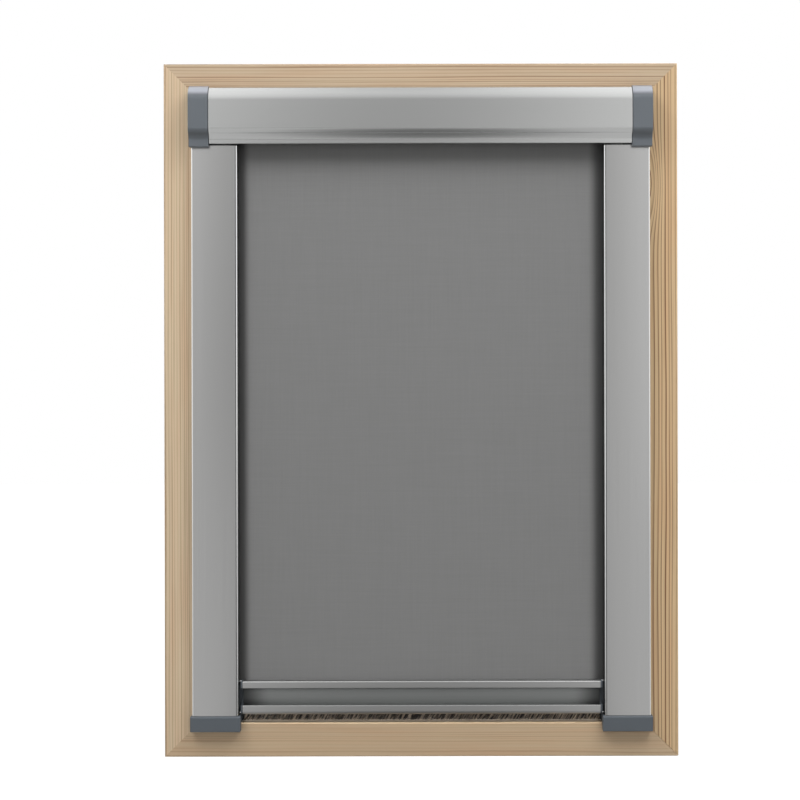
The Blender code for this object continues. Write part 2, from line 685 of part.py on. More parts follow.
def build_bottom_bar(aluminium, plastic, steel, felt, pile, parent):
    outline = bar_outline()
    bar = extrusion("bottom_bar", outline, "X", -BAR_HALF, BAR_HALF, aluminium, parent)
    beyond = BAR_HALF + 1
    lip_hollow = box_outline(-3.3, -275.8, 0.2, -271.2)
    top_hollow = box_outline(7.0, -276.4, 13.7, -271.2)
    rear_hollow = box_outline(9.8, -298.2, 13.7, -277.6)
    lower_hollow = (
        [(7.0, -302.1), (7.0, -295.2), (-3.3, -295.2)]
        + arc((BAR_FRONT + FOOT_RADIUS, BAR_BOTTOM + FOOT_RADIUS), FOOT_RADIUS - WALL, 180, 270, 4)
    )
    hem_slit = box_outline(FABRIC_DEPTH - 0.7, HEM_HEIGHT, FABRIC_DEPTH + 0.7, BAR_TOP + 1)
    brush_slot = [
        (8.2, -299.5), (13.8, -299.5), (13.8, -302.1), (12.8, -302.1), (12.8, BAR_BOTTOM - 1),
        (9.2, BAR_BOTTOM - 1), (9.2, -302.1), (8.2, -302.1),
    ]
    combine(
        bar,
        "DIFFERENCE",
        [
            (lip_hollow, "X", -beyond, beyond),
            (top_hollow, "X", -beyond, beyond),
            (rear_hollow, "X", -beyond, beyond),
            (lower_hollow, "X", -beyond, beyond),
            (brush_slot, "X", -beyond, beyond),
            ("rod", (FABRIC_DEPTH, HEM_HEIGHT), HEM_RADIUS + 0.5, "X", -beyond, beyond),
            (hem_slit, "X", -beyond, beyond),
        ],
    )
    bm = bmesh.new()
    rod(bm, (FABRIC_DEPTH, HEM_HEIGHT), HEM_RADIUS, "X", -BAR_HALF + 1, BAR_HALF - 1)
    finish("hem_spline", bm, plastic, parent)
    backing = box_outline(8.5, -301.8, 13.5, -299.8)
    extrusion("brush_backing", backing, "X", -PILE_HALF, PILE_HALF, plastic, parent)
    build_pile(pile, parent)
    for name, side in (("left", -1), ("right", 1)):
        build_bar_end(name, side, outline, plastic, steel, felt, parent)


def build_bar_end(name, side, outline, plastic, steel, felt, parent):
    # The bar's end piece: a plate on the bar's end, a lug inside the bar, and a tongue that runs in the
    # rail's slot. The tongue holds a felt brake pad and the leaf spring that presses it on the slot's wall.
    inner = BAR_HALF + CLEARANCE
    outer = inner + BAR_END_WALL
    tongue_end = SLOT_END - 1.0
    tongue = box_outline(SLOT_FRONT + 0.4, BAR_BOTTOM + 0.5, SLOT_BACK - 0.4, BAR_TOP - 2.5)
    lug = box_outline(10.2, -297.8, 13.3, -280.8)
    pocket = box_outline(SLOT_FRONT + 1.4, -296.0, SLOT_BACK, -280.0)
    end = extrusion(f"bar_end_{name}", outline, "X", side * inner, side * outer, plastic, parent)
    combine(
        end,
        "UNION",
        [
            (tongue, "X", side * (outer - 0.7), side * tongue_end),
            (lug, "X", side * (inner - 14.0), side * (inner + 0.7)),
        ],
    )
    combine(end, "DIFFERENCE", [(pocket, "X", side * 184.0, side * 193.0)])

    leaf_outer = leaf_points(11.6, -288.0)
    leaf_inner = [(t - 0.4, z) for t, z in leaf_outer]
    extrusion(
        f"brake_spring_{name}", leaf_outer + leaf_inner[::-1], "X", side * 186.5, side * 190.5, steel, parent
    )
    pad = box_outline(12.0, -293.0, SLOT_BACK - CLEARANCE, -283.0)
    extrusion(f"brake_pad_{name}", pad, "X", side * 185.0, side * 192.0, felt, parent)


def leaf_points(crown, middle):
    # The leaf spring's back face: a bow 14 mm long and 1.2 mm high
    count, half_length, rise = 6, 7.0, 1.2
    spots = [-half_length + 2 * half_length * i / count for i in range(count + 1)]
    return [(crown - rise * (s / half_length) ** 2, middle + s) for s in spots]


def build_pile(pile, parent):
    # The brush: tapered strands in two rows, each grown from its own cell of a thin slice of backing.
    # Each leans a little, always less than the room its taper leaves, so that none cross.
    rng = random.Random(7)
    bm = bmesh.new()
    slice_bottom = PILE_TOP - PILE_SLICE
    bmesh.ops.create_grid(bm, x_segments=PILE_COLUMNS, y_segments=PILE_ROWS, size=0.5)
    cells = list(bm.faces)
    width = 2 * PILE_HALF
    for vert in bm.verts:
        x, y, _ = vert.co
        vert.co = Vector((
            x * width, depth(PILE_FRONT + (y + 0.5) * (PILE_BACK - PILE_FRONT)), slice_bottom,
        )) * MM
    bmesh.ops.recalc_face_normals(bm, faces=bm.faces)
    made = bmesh.ops.extrude_face_region(bm, geom=cells, use_keep_orig=True)
    roof = [v for v in made["geom"] if isinstance(v, bmesh.types.BMVert)]
    bmesh.ops.translate(bm, verts=roof, vec=(0, 0, PILE_SLICE * MM))
    strands = bmesh.ops.extrude_discrete_faces(bm, faces=cells)["faces"]
    pitch = width / PILE_COLUMNS
    for face in strands:
        centre = face.calc_center_median()
        lean = Vector((rng.uniform(-0.3, 0.3) * pitch, rng.uniform(-0.3, 0.3), 0)) * MM
        drop = Vector((0, 0, PILE_TIPS - slice_bottom + rng.uniform(0, 0.8))) * MM
        for vert in face.verts:
            vert.co = centre + (vert.co - centre) * 0.3 + lean + drop
    finish("brush_pile", bm, pile, parent)


def main():
    clear_scene()
    pine = make_material("pine", "b59c80", 0.55)
    beech = make_material("beech_key", "c9a77c", 0.6)
    aluminium = make_material("anodised_aluminium", "a2a4a5", 0.35, 1.0)
    steel = make_material("zinc_plated_steel", "9a9c9e", 0.35, 1.0)
    cap_plastic = make_material("grey_cap_plastic", "63686d", 0.45)
    inner_plastic = make_material("black_plastic", "2c2d2f", 0.5)
    cloth = make_material("blackout_cloth", "7c7c7c", 0.85)
    felt = make_material("felt", "4a4a48", 0.95)
    pile = make_material("brush_fibre", "4a423c", 0.8)

    sash = bpy.data.objects.new("sash_assembly", None)
    roller = bpy.data.objects.new("roller_assembly", None)
    roller.location = Vector((0, depth(ROLLER_DEPTH), ROLLER_HEIGHT)) * MM
    bar = bpy.data.objects.new("bar_assembly", None)
    bar.location = Vector((0, depth(FABRIC_DEPTH), BAR_TOP)) * MM
    for empty in (sash, roller, bar):
        bpy.context.collection.objects.link(empty)

    build_sash(pine, beech, sash)
    build_cassette(aluminium, steel, cap_plastic, sash)
    build_roller(aluminium, inner_plastic, steel, cloth, sash, roller)
    build_fabric(cloth, sash)
    for name, side in (("left", -1), ("right", 1)):
        build_rail(name, side, aluminium, cap_plastic, steel, sash)
    build_bottom_bar(aluminium, inner_plastic, steel, felt, pile, bar)


main()
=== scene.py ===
import math
import random

import bmesh
import bpy
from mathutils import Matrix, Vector, noise


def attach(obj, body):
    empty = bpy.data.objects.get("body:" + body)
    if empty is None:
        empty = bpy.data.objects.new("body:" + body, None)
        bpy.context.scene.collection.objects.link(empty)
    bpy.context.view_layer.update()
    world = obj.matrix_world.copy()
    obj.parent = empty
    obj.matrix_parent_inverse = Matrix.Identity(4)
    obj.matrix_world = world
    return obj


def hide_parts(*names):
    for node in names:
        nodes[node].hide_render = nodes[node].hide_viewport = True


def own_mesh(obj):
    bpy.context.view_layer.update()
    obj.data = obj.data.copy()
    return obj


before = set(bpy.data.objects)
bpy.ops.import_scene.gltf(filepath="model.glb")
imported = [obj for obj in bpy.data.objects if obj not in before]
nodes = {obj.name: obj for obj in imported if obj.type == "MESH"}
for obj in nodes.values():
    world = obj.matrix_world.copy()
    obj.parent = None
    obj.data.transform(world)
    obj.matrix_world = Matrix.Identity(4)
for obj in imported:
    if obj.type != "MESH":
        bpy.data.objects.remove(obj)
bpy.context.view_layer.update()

# A blackout roller blind on the pine sash of a roof window. Lengths are in millimetres and turn into metres
# as each piece is made. A depth is counted backwards from the timber's front face, so one below zero stands
# proud of the timber.
mm = 0.001
timberDepth = 44.0
sides = {"Left": -1, "Right": 1}


def place(across, depth, height):
    return Vector((across, depth - timberDepth, height)) * mm


def faceOutwards(bm):
    bmesh.ops.recalc_face_normals(bm, faces=bm.faces)


def growFaces(bm, faces, shift, keep=False):
    grown = bmesh.ops.extrude_face_region(bm, geom=faces, use_keep_orig=keep)["geom"]
    bmesh.ops.translate(bm, verts=[v for v in grown if isinstance(v, bmesh.types.BMVert)], vec=shift)


def addObject(name, data):
    added = bpy.data.objects.new(name, data)
    bpy.context.scene.collection.objects.link(added)
    return added


def pick(sizes, names):
    return [sizes[name] for name in names.split()]


def extrudeOutline(outline, axis, start, end):
    # Along X the outline is read as (depth, height), and along Z as (across, depth).
    bm = bmesh.new()
    spots = [place(start, a, b) if axis == "X" else place(a, b, start) for a, b in outline]
    face = bm.faces.new([bm.verts.new(spot) for spot in spots])
    shift = place(end, 0, 0) - place(start, 0, 0) if axis == "X" else place(0, 0, end) - place(0, 0, start)
    growFaces(bm, [face], shift)
    faceOutwards(bm)
    return bm


def addBlock(bm, side, low, high):
    # Between two corners, each given as (across, depth, height) on the right-hand side
    for vert in bmesh.ops.create_cube(bm, size=1.0)["verts"]:
        across, deep, tall = (low[i] if vert.co[i] < 0 else high[i] for i in range(3))
        vert.co = place(side * across, deep, tall)


def roundEdges(bm, edges, offset, segments):
    bmesh.ops.bevel(
        bm, geom=edges, offset=offset, offset_type="OFFSET", segments=segments, profile=0.5, affect="EDGES",
        material=-1, clamp_overlap=True,
    )


def roundLong(bm, axis, spots, offset, segments):
    # Rounds the long edges that run through these points of the outline.
    at = 0 if axis == "X" else 2
    picked = []
    for edge in bm.edges:
        low, high = (v.co for v in edge.verts)
        span = high - low
        if abs(span[at]) < 0.99 * span.length or span.length < 5 * mm:
            continue        # it runs another way, or is a short one of a rounded end
        for a, b in spots:
            gap = low - (place(0, a, b) if axis == "X" else place(a, b, 0))
            gap[at] = 0
            if gap.length < 0.02 * mm:
                picked.append(edge)
                break
    roundEdges(bm, picked, offset * mm, segments)


def easeEnds(bm, axis, start, end, offset, segments):
    # Breaks the sharp rims where a length was sawn or moulded off.
    at = 0 if axis == "X" else 2
    rims = []
    for edge in bm.edges:
        low, high = (v.co[at] / mm for v in edge.verts)
        if any(abs(low - stop) < 1e-3 and abs(high - stop) < 1e-3 for stop in (start, end)):
            rims.append(edge)
    roundEdges(bm, rims, offset * mm, segments)


def makePiece(name, bm, materials, node, body="sash_assembly", sharp=32, weigh=True):
    bmesh.ops.remove_doubles(bm, verts=bm.verts, dist=1e-7)
    mesh = bpy.data.meshes.new(name)
    bm.to_mesh(mesh)
    bm.free()
    for material in materials:
        mesh.materials.append(material)
    mesh.shade_smooth()
    mesh.set_sharp_from_angle(angle=math.radians(sharp))
    piece = addObject(name, mesh)
    if weigh:
        piece.modifiers.new("flatFacesStayFlat", "WEIGHTED_NORMAL").keep_sharp = True
    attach(piece, body)
    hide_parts(node)
    return piece


def toLinear(hexColour):
    channels = [int(hexColour[i:i + 2], 16) / 255 for i in (1, 3, 5)]
    return [c / 12.92 if c <= 0.04045 else ((c + 0.055) / 1.055) ** 2.4 for c in channels] + [1.0]


def addNode(tree, kind, settings=None, links=None):
    # Settings go to the input of that name or number, or else to the node itself. A lone word is an operation.
    node = tree.nodes.new("ShaderNode" + kind)
    if isinstance(settings, str):
        settings = {"operation": settings}
    for key, value in (settings or {}).items():
        if isinstance(key, int) or key in node.inputs:
            node.inputs[key].default_value = value
        else:
            setattr(node, key, value)
    for key, source in (links or {}).items():
        tree.links.new(source, node.inputs[key])
    return node.outputs


def startMaterial(name, settings):
    material = bpy.data.materials.new(name)
    material.use_nodes = True
    tree = material.node_tree
    shader = tree.nodes["Principled BSDF"]
    for key, value in settings.items():
        shader.inputs[key].default_value = value
    spot = addNode(tree, "TexCoord")["Object"]
    inMm = addNode(tree, "Mapping", {"Scale": (1000, 1000, 1000)}, {"Vector": spot})[0]
    return material, tree, shader, inMm


def addBump(tree, shader, height, strength, distance):
    bump = addNode(tree, "Bump", {"Strength": strength, "Distance": distance}, {"Height": height})
    tree.links.new(bump["Normal"], shader.inputs["Normal"])


def stretchedNoise(tree, spot, scale, detail, start=(0, 0, 0)):
    # Noise drawn out along one axis, as grain, die lines and threads are
    stretched = addNode(tree, "Mapping", {"Scale": scale, "Location": start}, {"Vector": spot})[0]
    return addNode(tree, "TexNoise", {"Scale": 1.0, "Detail": detail}, {"Vector": stretched})[0]


def addTone(tree, shader, inMm, finish, share):
    # The share leads from the finish's dark tone to its light one. A shade is painted shade: it names an axis
    # and its middle on it, the two distances in mm between which the tone gets darker, and how much darker it
    # gets.
    dark, light = toLinear(finish["dark"]), toLinear(finish["light"])
    tone = addNode(tree, "Mix", {"data_type": "RGBA", 6: dark, 7: light}, {0: share})[2]
    if "shade" in finish:
        axis, middle, low, high, depth = finish["shade"]
        across = addNode(tree, "SeparateXYZ", {}, {0: inMm})[axis]
        offset = addNode(tree, "Math", {"operation": "SUBTRACT", 1: middle}, {0: across})[0]
        aside = addNode(tree, "Math", "ABSOLUTE", {0: offset})[0]
        shaded = addNode(
            tree, "MapRange",
            {"interpolation_type": "SMOOTHSTEP", "From Min": low, "From Max": high, "To Max": depth},
            {"Value": aside},
        )[0]
        tone = addNode(tree, "Mix", {"data_type": "RGBA", 7: (0, 0, 0, 1)}, {0: shaded, 6: tone})[2]
    tree.links.new(tone, shader.inputs["Base Color"])


print("materials")

timberFinish = {
    "late": "#7d5a39",       # summer wood, the dark line of each ring
    "roughness": 0.5,
    "lineStart": (0.36, 0.9),        # the dark line's soft side, in shares of a ring
    "lineStop": (1.0, 0.92),         # and its crisp side
    "lineCrisp": 2.0,        # above 1 narrows the line
    "unevenYears": 1.6,      # how far wide and narrow rings depart from even ones, in rings
    "driftScale": (0.035, 0.035, 0.0035),    # per mm, twice across the grain and once along it
    "fibreScale": (0.75, 0.75, 0.006),
    "tintScale": (0.16, 0.16, 0.007),
    "blush": "#fbe6dc",
}


def pineTimber(name, cut):
    # Planed pine under a clear satin lacquer: narrow dark lines with one crisp side, fine fibres along the
    # grain and slow changes of tint. The rings are tubes round the pith, so they run on round the arrises.
    material, tree, shader, inMm = startMaterial(
        name, {"Roughness": timberFinish["roughness"], "Specular IOR Level": cut.get("specular", 0.5)}
    )
    if cut["grain"] == "X":
        inMm = addNode(tree, "Mapping", {"Rotation": (0, math.radians(90), 0)}, {"Vector": inMm})[0]
    drift = stretchedNoise(tree, inMm, timberFinish["driftScale"], 2.0, [cut["seed"]] * 3)
    driftInMm = addNode(
        tree, "Math", {"operation": "MULTIPLY_ADD", 1: cut["drift"], 2: -cut["drift"] / 2}, {0: drift}
    )[0]
    fromPith = addNode(
        tree, "VectorMath",
        {"operation": "MULTIPLY_ADD", 1: (1, 1, 0), 2: (-cut["pith"][0], -cut["pith"][1], 0)}, {0: inMm},
    )[0]
    radius = addNode(tree, "VectorMath", "LENGTH", {0: fromPith})["Value"]
    radius = addNode(tree, "Math", "ADD", {0: radius, 1: driftInMm})[0]
    for bulge in cut.get("figure", ()):
        # Grain that flows round a branch just outside the piece
        reach = bulge["size"]
        near = addNode(
            tree, "VectorMath",
            {"operation": "MULTIPLY_ADD", 1: (1 / reach[0], 0, 1 / reach[1]),
             2: (-bulge["at"][0] / reach[0], 0, -bulge["at"][1] / reach[1])}, {0: inMm},
        )[0]
        away = addNode(tree, "VectorMath", "DOT_PRODUCT", {0: near, 1: near})["Value"]
        fade = addNode(tree, "Math", {"operation": "MULTIPLY", 1: -1.0}, {0: away})[0]
        swell = addNode(tree, "Math", "EXPONENT", {0: fade})[0]
        radius = addNode(
            tree, "Math", {"operation": "MULTIPLY_ADD", 1: bulge["push"]}, {0: swell, 2: radius}
        )[0]
    count = addNode(tree, "Math", {"operation": "DIVIDE", 1: cut["ring"]}, {0: radius})[0]
    years = addNode(tree, "TexNoise", {"noise_dimensions": "1D", "Scale": 0.4, "Detail": 1.0}, {"W": count})[0]
    count = addNode(
        tree, "Math", {"operation": "MULTIPLY_ADD", 1: timberFinish["unevenYears"]}, {0: years, 2: count}
    )[0]
    within = addNode(tree, "Math", "FRACT", {0: count})[0]
    whole = addNode(tree, "Math", "FLOOR", {0: count})[0]
    rise, fall = (
        addNode(
            tree, "MapRange", {"interpolation_type": "SMOOTHSTEP", "From Min": first, "From Max": last},
            {"Value": within},
        )[0]
        for first, last in (timberFinish["lineStart"], timberFinish["lineStop"])
    )
    rise = addNode(tree, "Math", {"operation": "POWER", 1: timberFinish["lineCrisp"]}, {0: rise})[0]
    line = addNode(tree, "Math", "MULTIPLY", {0: rise, 1: fall})[0]
    chance = addNode(tree, "TexWhiteNoise", {"noise_dimensions": "1D"}, {"W": whole})[0]
    weight = addNode(tree, "MapRange", {"To Min": cut["faint"], "To Max": cut["strong"]}, {"Value": chance})[0]
    line = addNode(tree, "Math", "MULTIPLY", {0: line, 1: weight})[0]
    fibre = stretchedNoise(tree, inMm, timberFinish["fibreScale"], 3.0)
    streak = cut.get("streak", 0.9)        # how much the fibres differ in tone
    mixed = addNode(tree, "Math", {"operation": "MULTIPLY_ADD", 1: streak, 2: -streak / 2}, {0: fibre})[0]
    mixed = addNode(tree, "Math", {"operation": "ADD", "use_clamp": True}, {0: mixed, 1: line})[0]
    wood = addNode(
        tree, "Mix",
        {"data_type": "RGBA", 6: toLinear(cut["early"]), 7: toLinear(cut.get("late", timberFinish["late"]))},
        {0: mixed},
    )[2]
    tint = stretchedNoise(tree, inMm, timberFinish["tintScale"], 1.0)
    share = addNode(tree, "MapRange", {"From Min": 0.42, "From Max": 0.7, "To Max": 0.4}, {"Value": tint})[0]
    blushed = addNode(
        tree, "Mix",
        {"data_type": "RGBA", "blend_type": "MULTIPLY", 0: 1.0, 7: toLinear(timberFinish["blush"])}, {6: wood},
    )[2]
    wood = addNode(tree, "Mix", {"data_type": "RGBA"}, {0: share, 6: wood, 7: blushed})[2]
    tree.links.new(wood, shader.inputs["Base Color"])
    addBump(tree, shader, mixed, 0.25, 0.0002)
    return material


def anodisedAluminium(name, along, finish):
    # Extruded, etched and clear anodised aluminium: satin, with faint die lines along the length. Die lines
    # are 0.1 to 0.5 mm apart, and are drawn 0.8 mm apart so that they show.
    material, tree, shader, inMm = startMaterial(name, {"Roughness": finish["roughness"], "Metallic": 1.0})
    stretch = {"X": (0.004, 1.2, 1.2), "Z": (1.2, 1.2, 0.004)}[along]
    lines = stretchedNoise(tree, inMm, stretch, 2.0)
    etched = addNode(tree, "TexNoise", {"Scale": 3.0, "Detail": 2.0}, {"Vector": inMm})[0]
    addTone(tree, shader, inMm, finish, lines)
    height = addNode(tree, "Math", {"operation": "MULTIPLY_ADD", 1: 0.5}, {0: etched, 2: lines})[0]
    addBump(tree, shader, height, 0.08, 0.00005)
    return material


def mouldedPlastic(name, finish):
    # Injection moulded plastic from a spark eroded tool: an even fine grain and a soft sheen.
    material, tree, shader, inMm = startMaterial(name, {
        "Roughness": finish["roughness"], "Metallic": finish.get("metallic", 0.0),
        "Specular IOR Level": finish.get("specular", 0.5), "IOR": 1.5,
    })
    grain = addNode(tree, "TexNoise", {"Scale": 2.2, "Detail": 2.0}, {"Vector": inMm})[0]
    cloud = addNode(tree, "TexNoise", {"Scale": 0.05, "Detail": 1.0}, {"Vector": inMm})[0]
    addTone(tree, shader, inMm, finish, cloud)
    addBump(tree, shader, grain, finish["grain"], 0.0001)
    return material


def wovenCloth(name, finish):
    # Plain woven polyester: 0.45 mm threads in the real cloth, drawn 0.8 mm apart so that the weave shows.
    # The margins, which run in the rails, carry painted shade: they are darkened where the rails shadow them.
    material, tree, shader, inMm = startMaterial(
        name, {"Roughness": finish["roughness"], "Sheen Weight": 0.15, "Sheen Roughness": 0.5}
    )
    perThread = 0.5 / finish["pitch"]
    threads = addNode(tree, "Mapping", {"Scale": (perThread, perThread, perThread)}, {"Vector": inMm})[0]
    split = addNode(tree, "SeparateXYZ", {}, {0: threads})
    waves = []
    for axis in ("X", "Z"):
        turn = addNode(tree, "Math", {"operation": "MULTIPLY", 1: math.tau}, {0: split[axis]})[0]
        waves.append(addNode(tree, "Math", "SINE", {0: turn})[0])
    crossing = addNode(tree, "Math", "MULTIPLY", {0: waves[0], 1: waves[1]})[0]
    over = addNode(
        tree, "MapRange", {"interpolation_type": "SMOOTHSTEP", "From Min": -0.3, "From Max": 0.3},
        {"Value": crossing},
    )[0]
    ridges = [addNode(tree, "Math", "ABSOLUTE", {0: wave})[0] for wave in waves]
    height = addNode(tree, "Mix", {"data_type": "FLOAT"}, {0: over, 2: ridges[0], 3: ridges[1]})[0]
    slubs = [stretchedNoise(tree, inMm, scale, 2.0) for scale in ((0.9, 0.9, 0.02), (0.02, 0.9, 0.9))]
    slub = addNode(tree, "Math", "ADD", {0: slubs[0], 1: slubs[1]})[0]
    level = addNode(tree, "Math", {"operation": "MULTIPLY_ADD", 1: 0.3}, {0: height, 2: slub})[0]
    share = addNode(tree, "MapRange", {"From Min": -0.3, "From Max": 2.7}, {"Value": level})[0]
    addTone(tree, shader, inMm, finish, share)
    addBump(tree, shader, height, 0.35, 0.0001)
    return material


def fibrePile(name, finish):
    # Synthetic bristle, or felt: matt, with hairs that differ in tone.
    material, tree, shader, inMm = startMaterial(name, {"Roughness": finish["roughness"], "Sheen Weight": 0.2})
    turn = (0, math.radians(finish.get("slant", 0)), 0)
    slanted = addNode(tree, "Mapping", {"Rotation": turn}, {"Vector": inMm})[0]
    hairs = stretchedNoise(tree, slanted, finish["stretch"], 2.0)
    low, high = finish["spread"]
    share = addNode(tree, "MapRange", {"From Min": low, "From Max": high}, {"Value": hairs})[0]
    addTone(tree, shader, inMm, finish, share)
    addBump(tree, shader, hairs, 0.4, 0.0002)
    return material


def zincSteel(name, finish):
    # Bright zinc plate on pressed or turned steel: small soft spangles in tone and gloss.
    material, tree, shader, inMm = startMaterial(name, {"Roughness": finish["roughness"][0], "Metallic": 1.0})
    spangle = addNode(tree, "TexVoronoi", {"Scale": 0.9}, {"Vector": inMm})["Distance"]
    addTone(tree, shader, inMm, finish, spangle)
    low, high = finish["roughness"]
    gloss = addNode(tree, "MapRange", {"To Min": low, "To Max": high}, {"Value": spangle})[0]
    tree.links.new(gloss, shader.inputs["Roughness"])
    return material


# Each cut gives the axis of its grain, where its pith lies across the grain, the width of its rings and how
# far they drift, all in mm, and the weight of its faintest and strongest dark line.
pineHead = pineTimber(
    "PlanedPineHead",
    {"grain": "X", "pith": (351, -27), "ring": 1.9, "drift": 2.5, "seed": 4.0, "faint": 0.2, "strong": 0.8,
     "early": "#c4af94"},
)
sillCut = {
    "grain": "X", "pith": (-350, -26), "ring": 2.0, "drift": 3.0, "seed": 9.0, "faint": 0.05, "strong": 0.4,
    "streak": 0.6, "early": "#c4ad8f",
}
pineSill = pineTimber("PlanedPineSill", sillCut)
# The sill's upward-facing inner face and arris: dull, with a paler tone that is painted light from above
pineSillPaintedLight = pineTimber(
    "PlanedPineSillPaintedLight", {**sillCut, "strong": 0.3, "streak": 0.5, "early": "#edd4b0", "specular": 0.15}
)
pineLeft = pineTimber(
    "PlanedPineLeftStile",
    {"grain": "Z", "pith": (-262, -29), "ring": 2.0, "drift": 2.0, "seed": 2.0, "faint": 0.22, "strong": 0.6,
     "early": "#d4bfa1"},
)
pineRight = pineTimber(
    "PlanedPineRightStile",
    {"grain": "Z", "pith": (207, 0), "ring": 2.3, "drift": 2.4, "seed": 13.0, "faint": 0.55, "strong": 1.3,
     "early": "#d0b48d", "late": "#6f4726", "figure": [{"at": (229, 226), "size": (8.5, 36), "push": -7.0}]},
)
aluminiumCassette = anodisedAluminium(
    "SatinAnodisedAluminiumCassette", "X", {"light": "#d9dad9", "dark": "#d2d3d2", "roughness": 0.23}
)
aluminiumRail = anodisedAluminium(
    "SatinAnodisedAluminiumRail", "Z", {"light": "#c8c8c7", "dark": "#c1c1c0", "roughness": 0.27}
)
aluminiumBar = anodisedAluminium(
    "SatinAnodisedAluminiumBar", "X", {"light": "#bebebd", "dark": "#b7b7b6", "roughness": 0.45}
)
# Left matt for the fingers. Its darker tone is painted shade in the recess, and its ends are darker still as a
# painted shadow of the rails.
paintedShadeGroove = anodisedAluminium(
    "MattAnodisedFingerGroovePaintedShade", "X",
    {"light": "#a3a5a4", "dark": "#9a9c9b", "roughness": 0.6, "shade": ("X", 0, 150, 180, 0.72)},
)
# Painted highlight: a lighter tone on the arrises that stands in for the light they catch
arrisPaintedHighlight = anodisedAluminium(
    "AnodisedArrisPaintedHighlight", "Z", {"light": "#f3f4f3", "dark": "#eeefee", "roughness": 0.2}
)
capPlastic = mouldedPlastic(
    "MouldedGreyPlastic",
    {"light": "#5d6369", "dark": "#585e64", "roughness": 0.4, "grain": 0.1, "specular": 0.8},
)
# The end caps' shoulders carry a painted highlight: a lighter, metallic band that stands in for the light from
# above, fading out downwards
capShoulderPaintedHighlight = mouldedPlastic(
    "GreyPlasticPaintedShoulderHighlight",
    {"light": "#b2b5bd", "dark": "#adb0b8", "roughness": 0.3, "grain": 0.05, "metallic": 0.8,
     "shade": ("Z", 0, 316, 310.8, 0.62)},
)
footPlastic = mouldedPlastic(
    "MattGreyPlastic",
    {"light": "#5c6268", "dark": "#575d63", "roughness": 0.5, "grain": 0.1, "specular": 0.35},
)
blackPlasticAndPaintedShade = mouldedPlastic(
    "MouldedBlackPlasticAndPaintedShade", {"light": "#303234", "dark": "#2a2b2d", "roughness": 0.45, "grain": 0.15}
)
# The cloth's shade is painted shade on the margins beside the rails, a little off centre.
clothFace = wovenCloth(
    "WovenBlackoutCloth",
    {"light": "#868686", "dark": "#757575", "roughness": 0.8, "pitch": 0.8,
     "shade": ("X", -1.4, 168, 177.8, 0.53)},
)
clothBack = mouldedPlastic(
    "CoatedClothBack", {"light": "#c9cac8", "dark": "#c2c3c1", "roughness": 0.6, "grain": 0.3}
)
bristle = fibrePile(
    "PolypropyleneBristle",
    {"light": "#dccbba", "dark": "#1b1514", "roughness": 0.6, "stretch": (0.64, 0.64, 0.05), "slant": -30,
     "spread": (0.45, 0.625)},
)
felt = fibrePile(
    "WoolFelt",
    {"light": "#565654", "dark": "#3c3c3b", "roughness": 0.95, "stretch": (1.8, 1.8, 1.8),
     "spread": (0.35, 0.65)},
)
steel = zincSteel("BrightZincSteel", {"light": "#bcc0c2", "dark": "#a9acad", "roughness": (0.28, 0.42)})
beech = pineTimber(
    "BeechKey",
    {"grain": "X", "pith": (0, 60), "ring": 1.1, "drift": 2.0, "seed": 5.0, "faint": 0.1, "strong": 0.3,
     "early": "#c9a77c", "late": "#b08b60"},
)

print("sash")

sash = {
    "innerX": 222.5,
    "innerZ": 312.0,
    "cadGap": 0.15,          # the solids' gap at each mitre
    "closedGap": 0.02,
    "jointGap": {("X", 1, 1): 0.05, ("X", -1, 1): 0.2},      # two mitres that are a little more open
    "paintedLightAbove": 0.25,       # how far up a face of the sill has to look to take the painted light
}


def buildSash():
    # The members are the solids with their mitres closed up to a hairline.
    for name, node, axis, side, timber in (
        ("sashHead", "sash_head", "X", 1, pineHead), ("sashSill", "sash_sill", "X", -1, pineSill),
        ("sashStileLeft", "sash_stile_left", "Z", -1, pineLeft),
        ("sashStileRight", "sash_stile_right", "Z", 1, pineRight),
    ):
        bm = bmesh.new()
        bm.from_mesh(nodes[node].data)
        bmesh.ops.remove_doubles(bm, verts=bm.verts, dist=1e-6)
        long, cross = (0, 2) if axis == "X" else (2, 0)
        reach, inner = (sash["innerX"], sash["innerZ"]) if axis == "X" else (sash["innerZ"], sash["innerX"])
        for vert in bm.verts:
            along, out = vert.co[long] / mm, side * vert.co[cross] / mm - inner
            if abs(abs(along) - reach - out + sash["cadGap"]) < 0.01:
                end = 1 if along > 0 else -1
                corner = (axis, side, end) if axis == "X" else ("X", end, side)
                gap = sash["jointGap"].get(corner, sash["closedGap"])
                vert.co[long] += end * (sash["cadGap"] - gap) * mm
        faceOutwards(bm)
        for face in bm.faces:
            face.material_index = 1 if node == "sash_sill" and face.normal.z > sash["paintedLightAbove"] else 0
        makePiece(name, bm, [timber, pineSillPaintedLight], node, sharp=40)


buildSash()

print("cassette and end caps")

cassette = {
    "half": 209.4,
    "top": 321.3,
    "front": -20.0,
    "back": -0.5,
    "bottom": 264.2,
    "bottomBack": -5.0,
    "shoulder": 12.0,        # radius of the rounded top edge, which is then drawn down to its height
    "shoulderHeight": 14.6,
    "sweepTop": 275.98,      # where the front and the sweep would meet in a corner
    "sweepRun": 7.28,        # length of the slope before it is rounded
    "sweepTurn": 55.0,       # degrees
    "sweepRounding": (3.1, 4.1, 2.4, 4.6),       # outside above and below, inside above and below
    "wall": 1.2,
    "rib": (-7.7, -6.5, 308.0),      # front, back and foot of the rib under the top
    "hook": (-1.7, 313.4),           # front and foot of the strip that hangs down at the back
    "endBreak": 0.5,
}


def sweepCorners(grow=0.0):
    # The two corners of the swept lower edge, moved outwards by grow
    turn = math.radians(cassette["sweepTurn"])
    lean = math.tan(turn / 2)
    upper = (cassette["front"] - grow, cassette["sweepTop"] - grow * lean)
    run = cassette["sweepRun"]
    lower = (upper[0] + run * math.sin(turn), upper[1] - run * math.cos(turn))
    return upper, lower


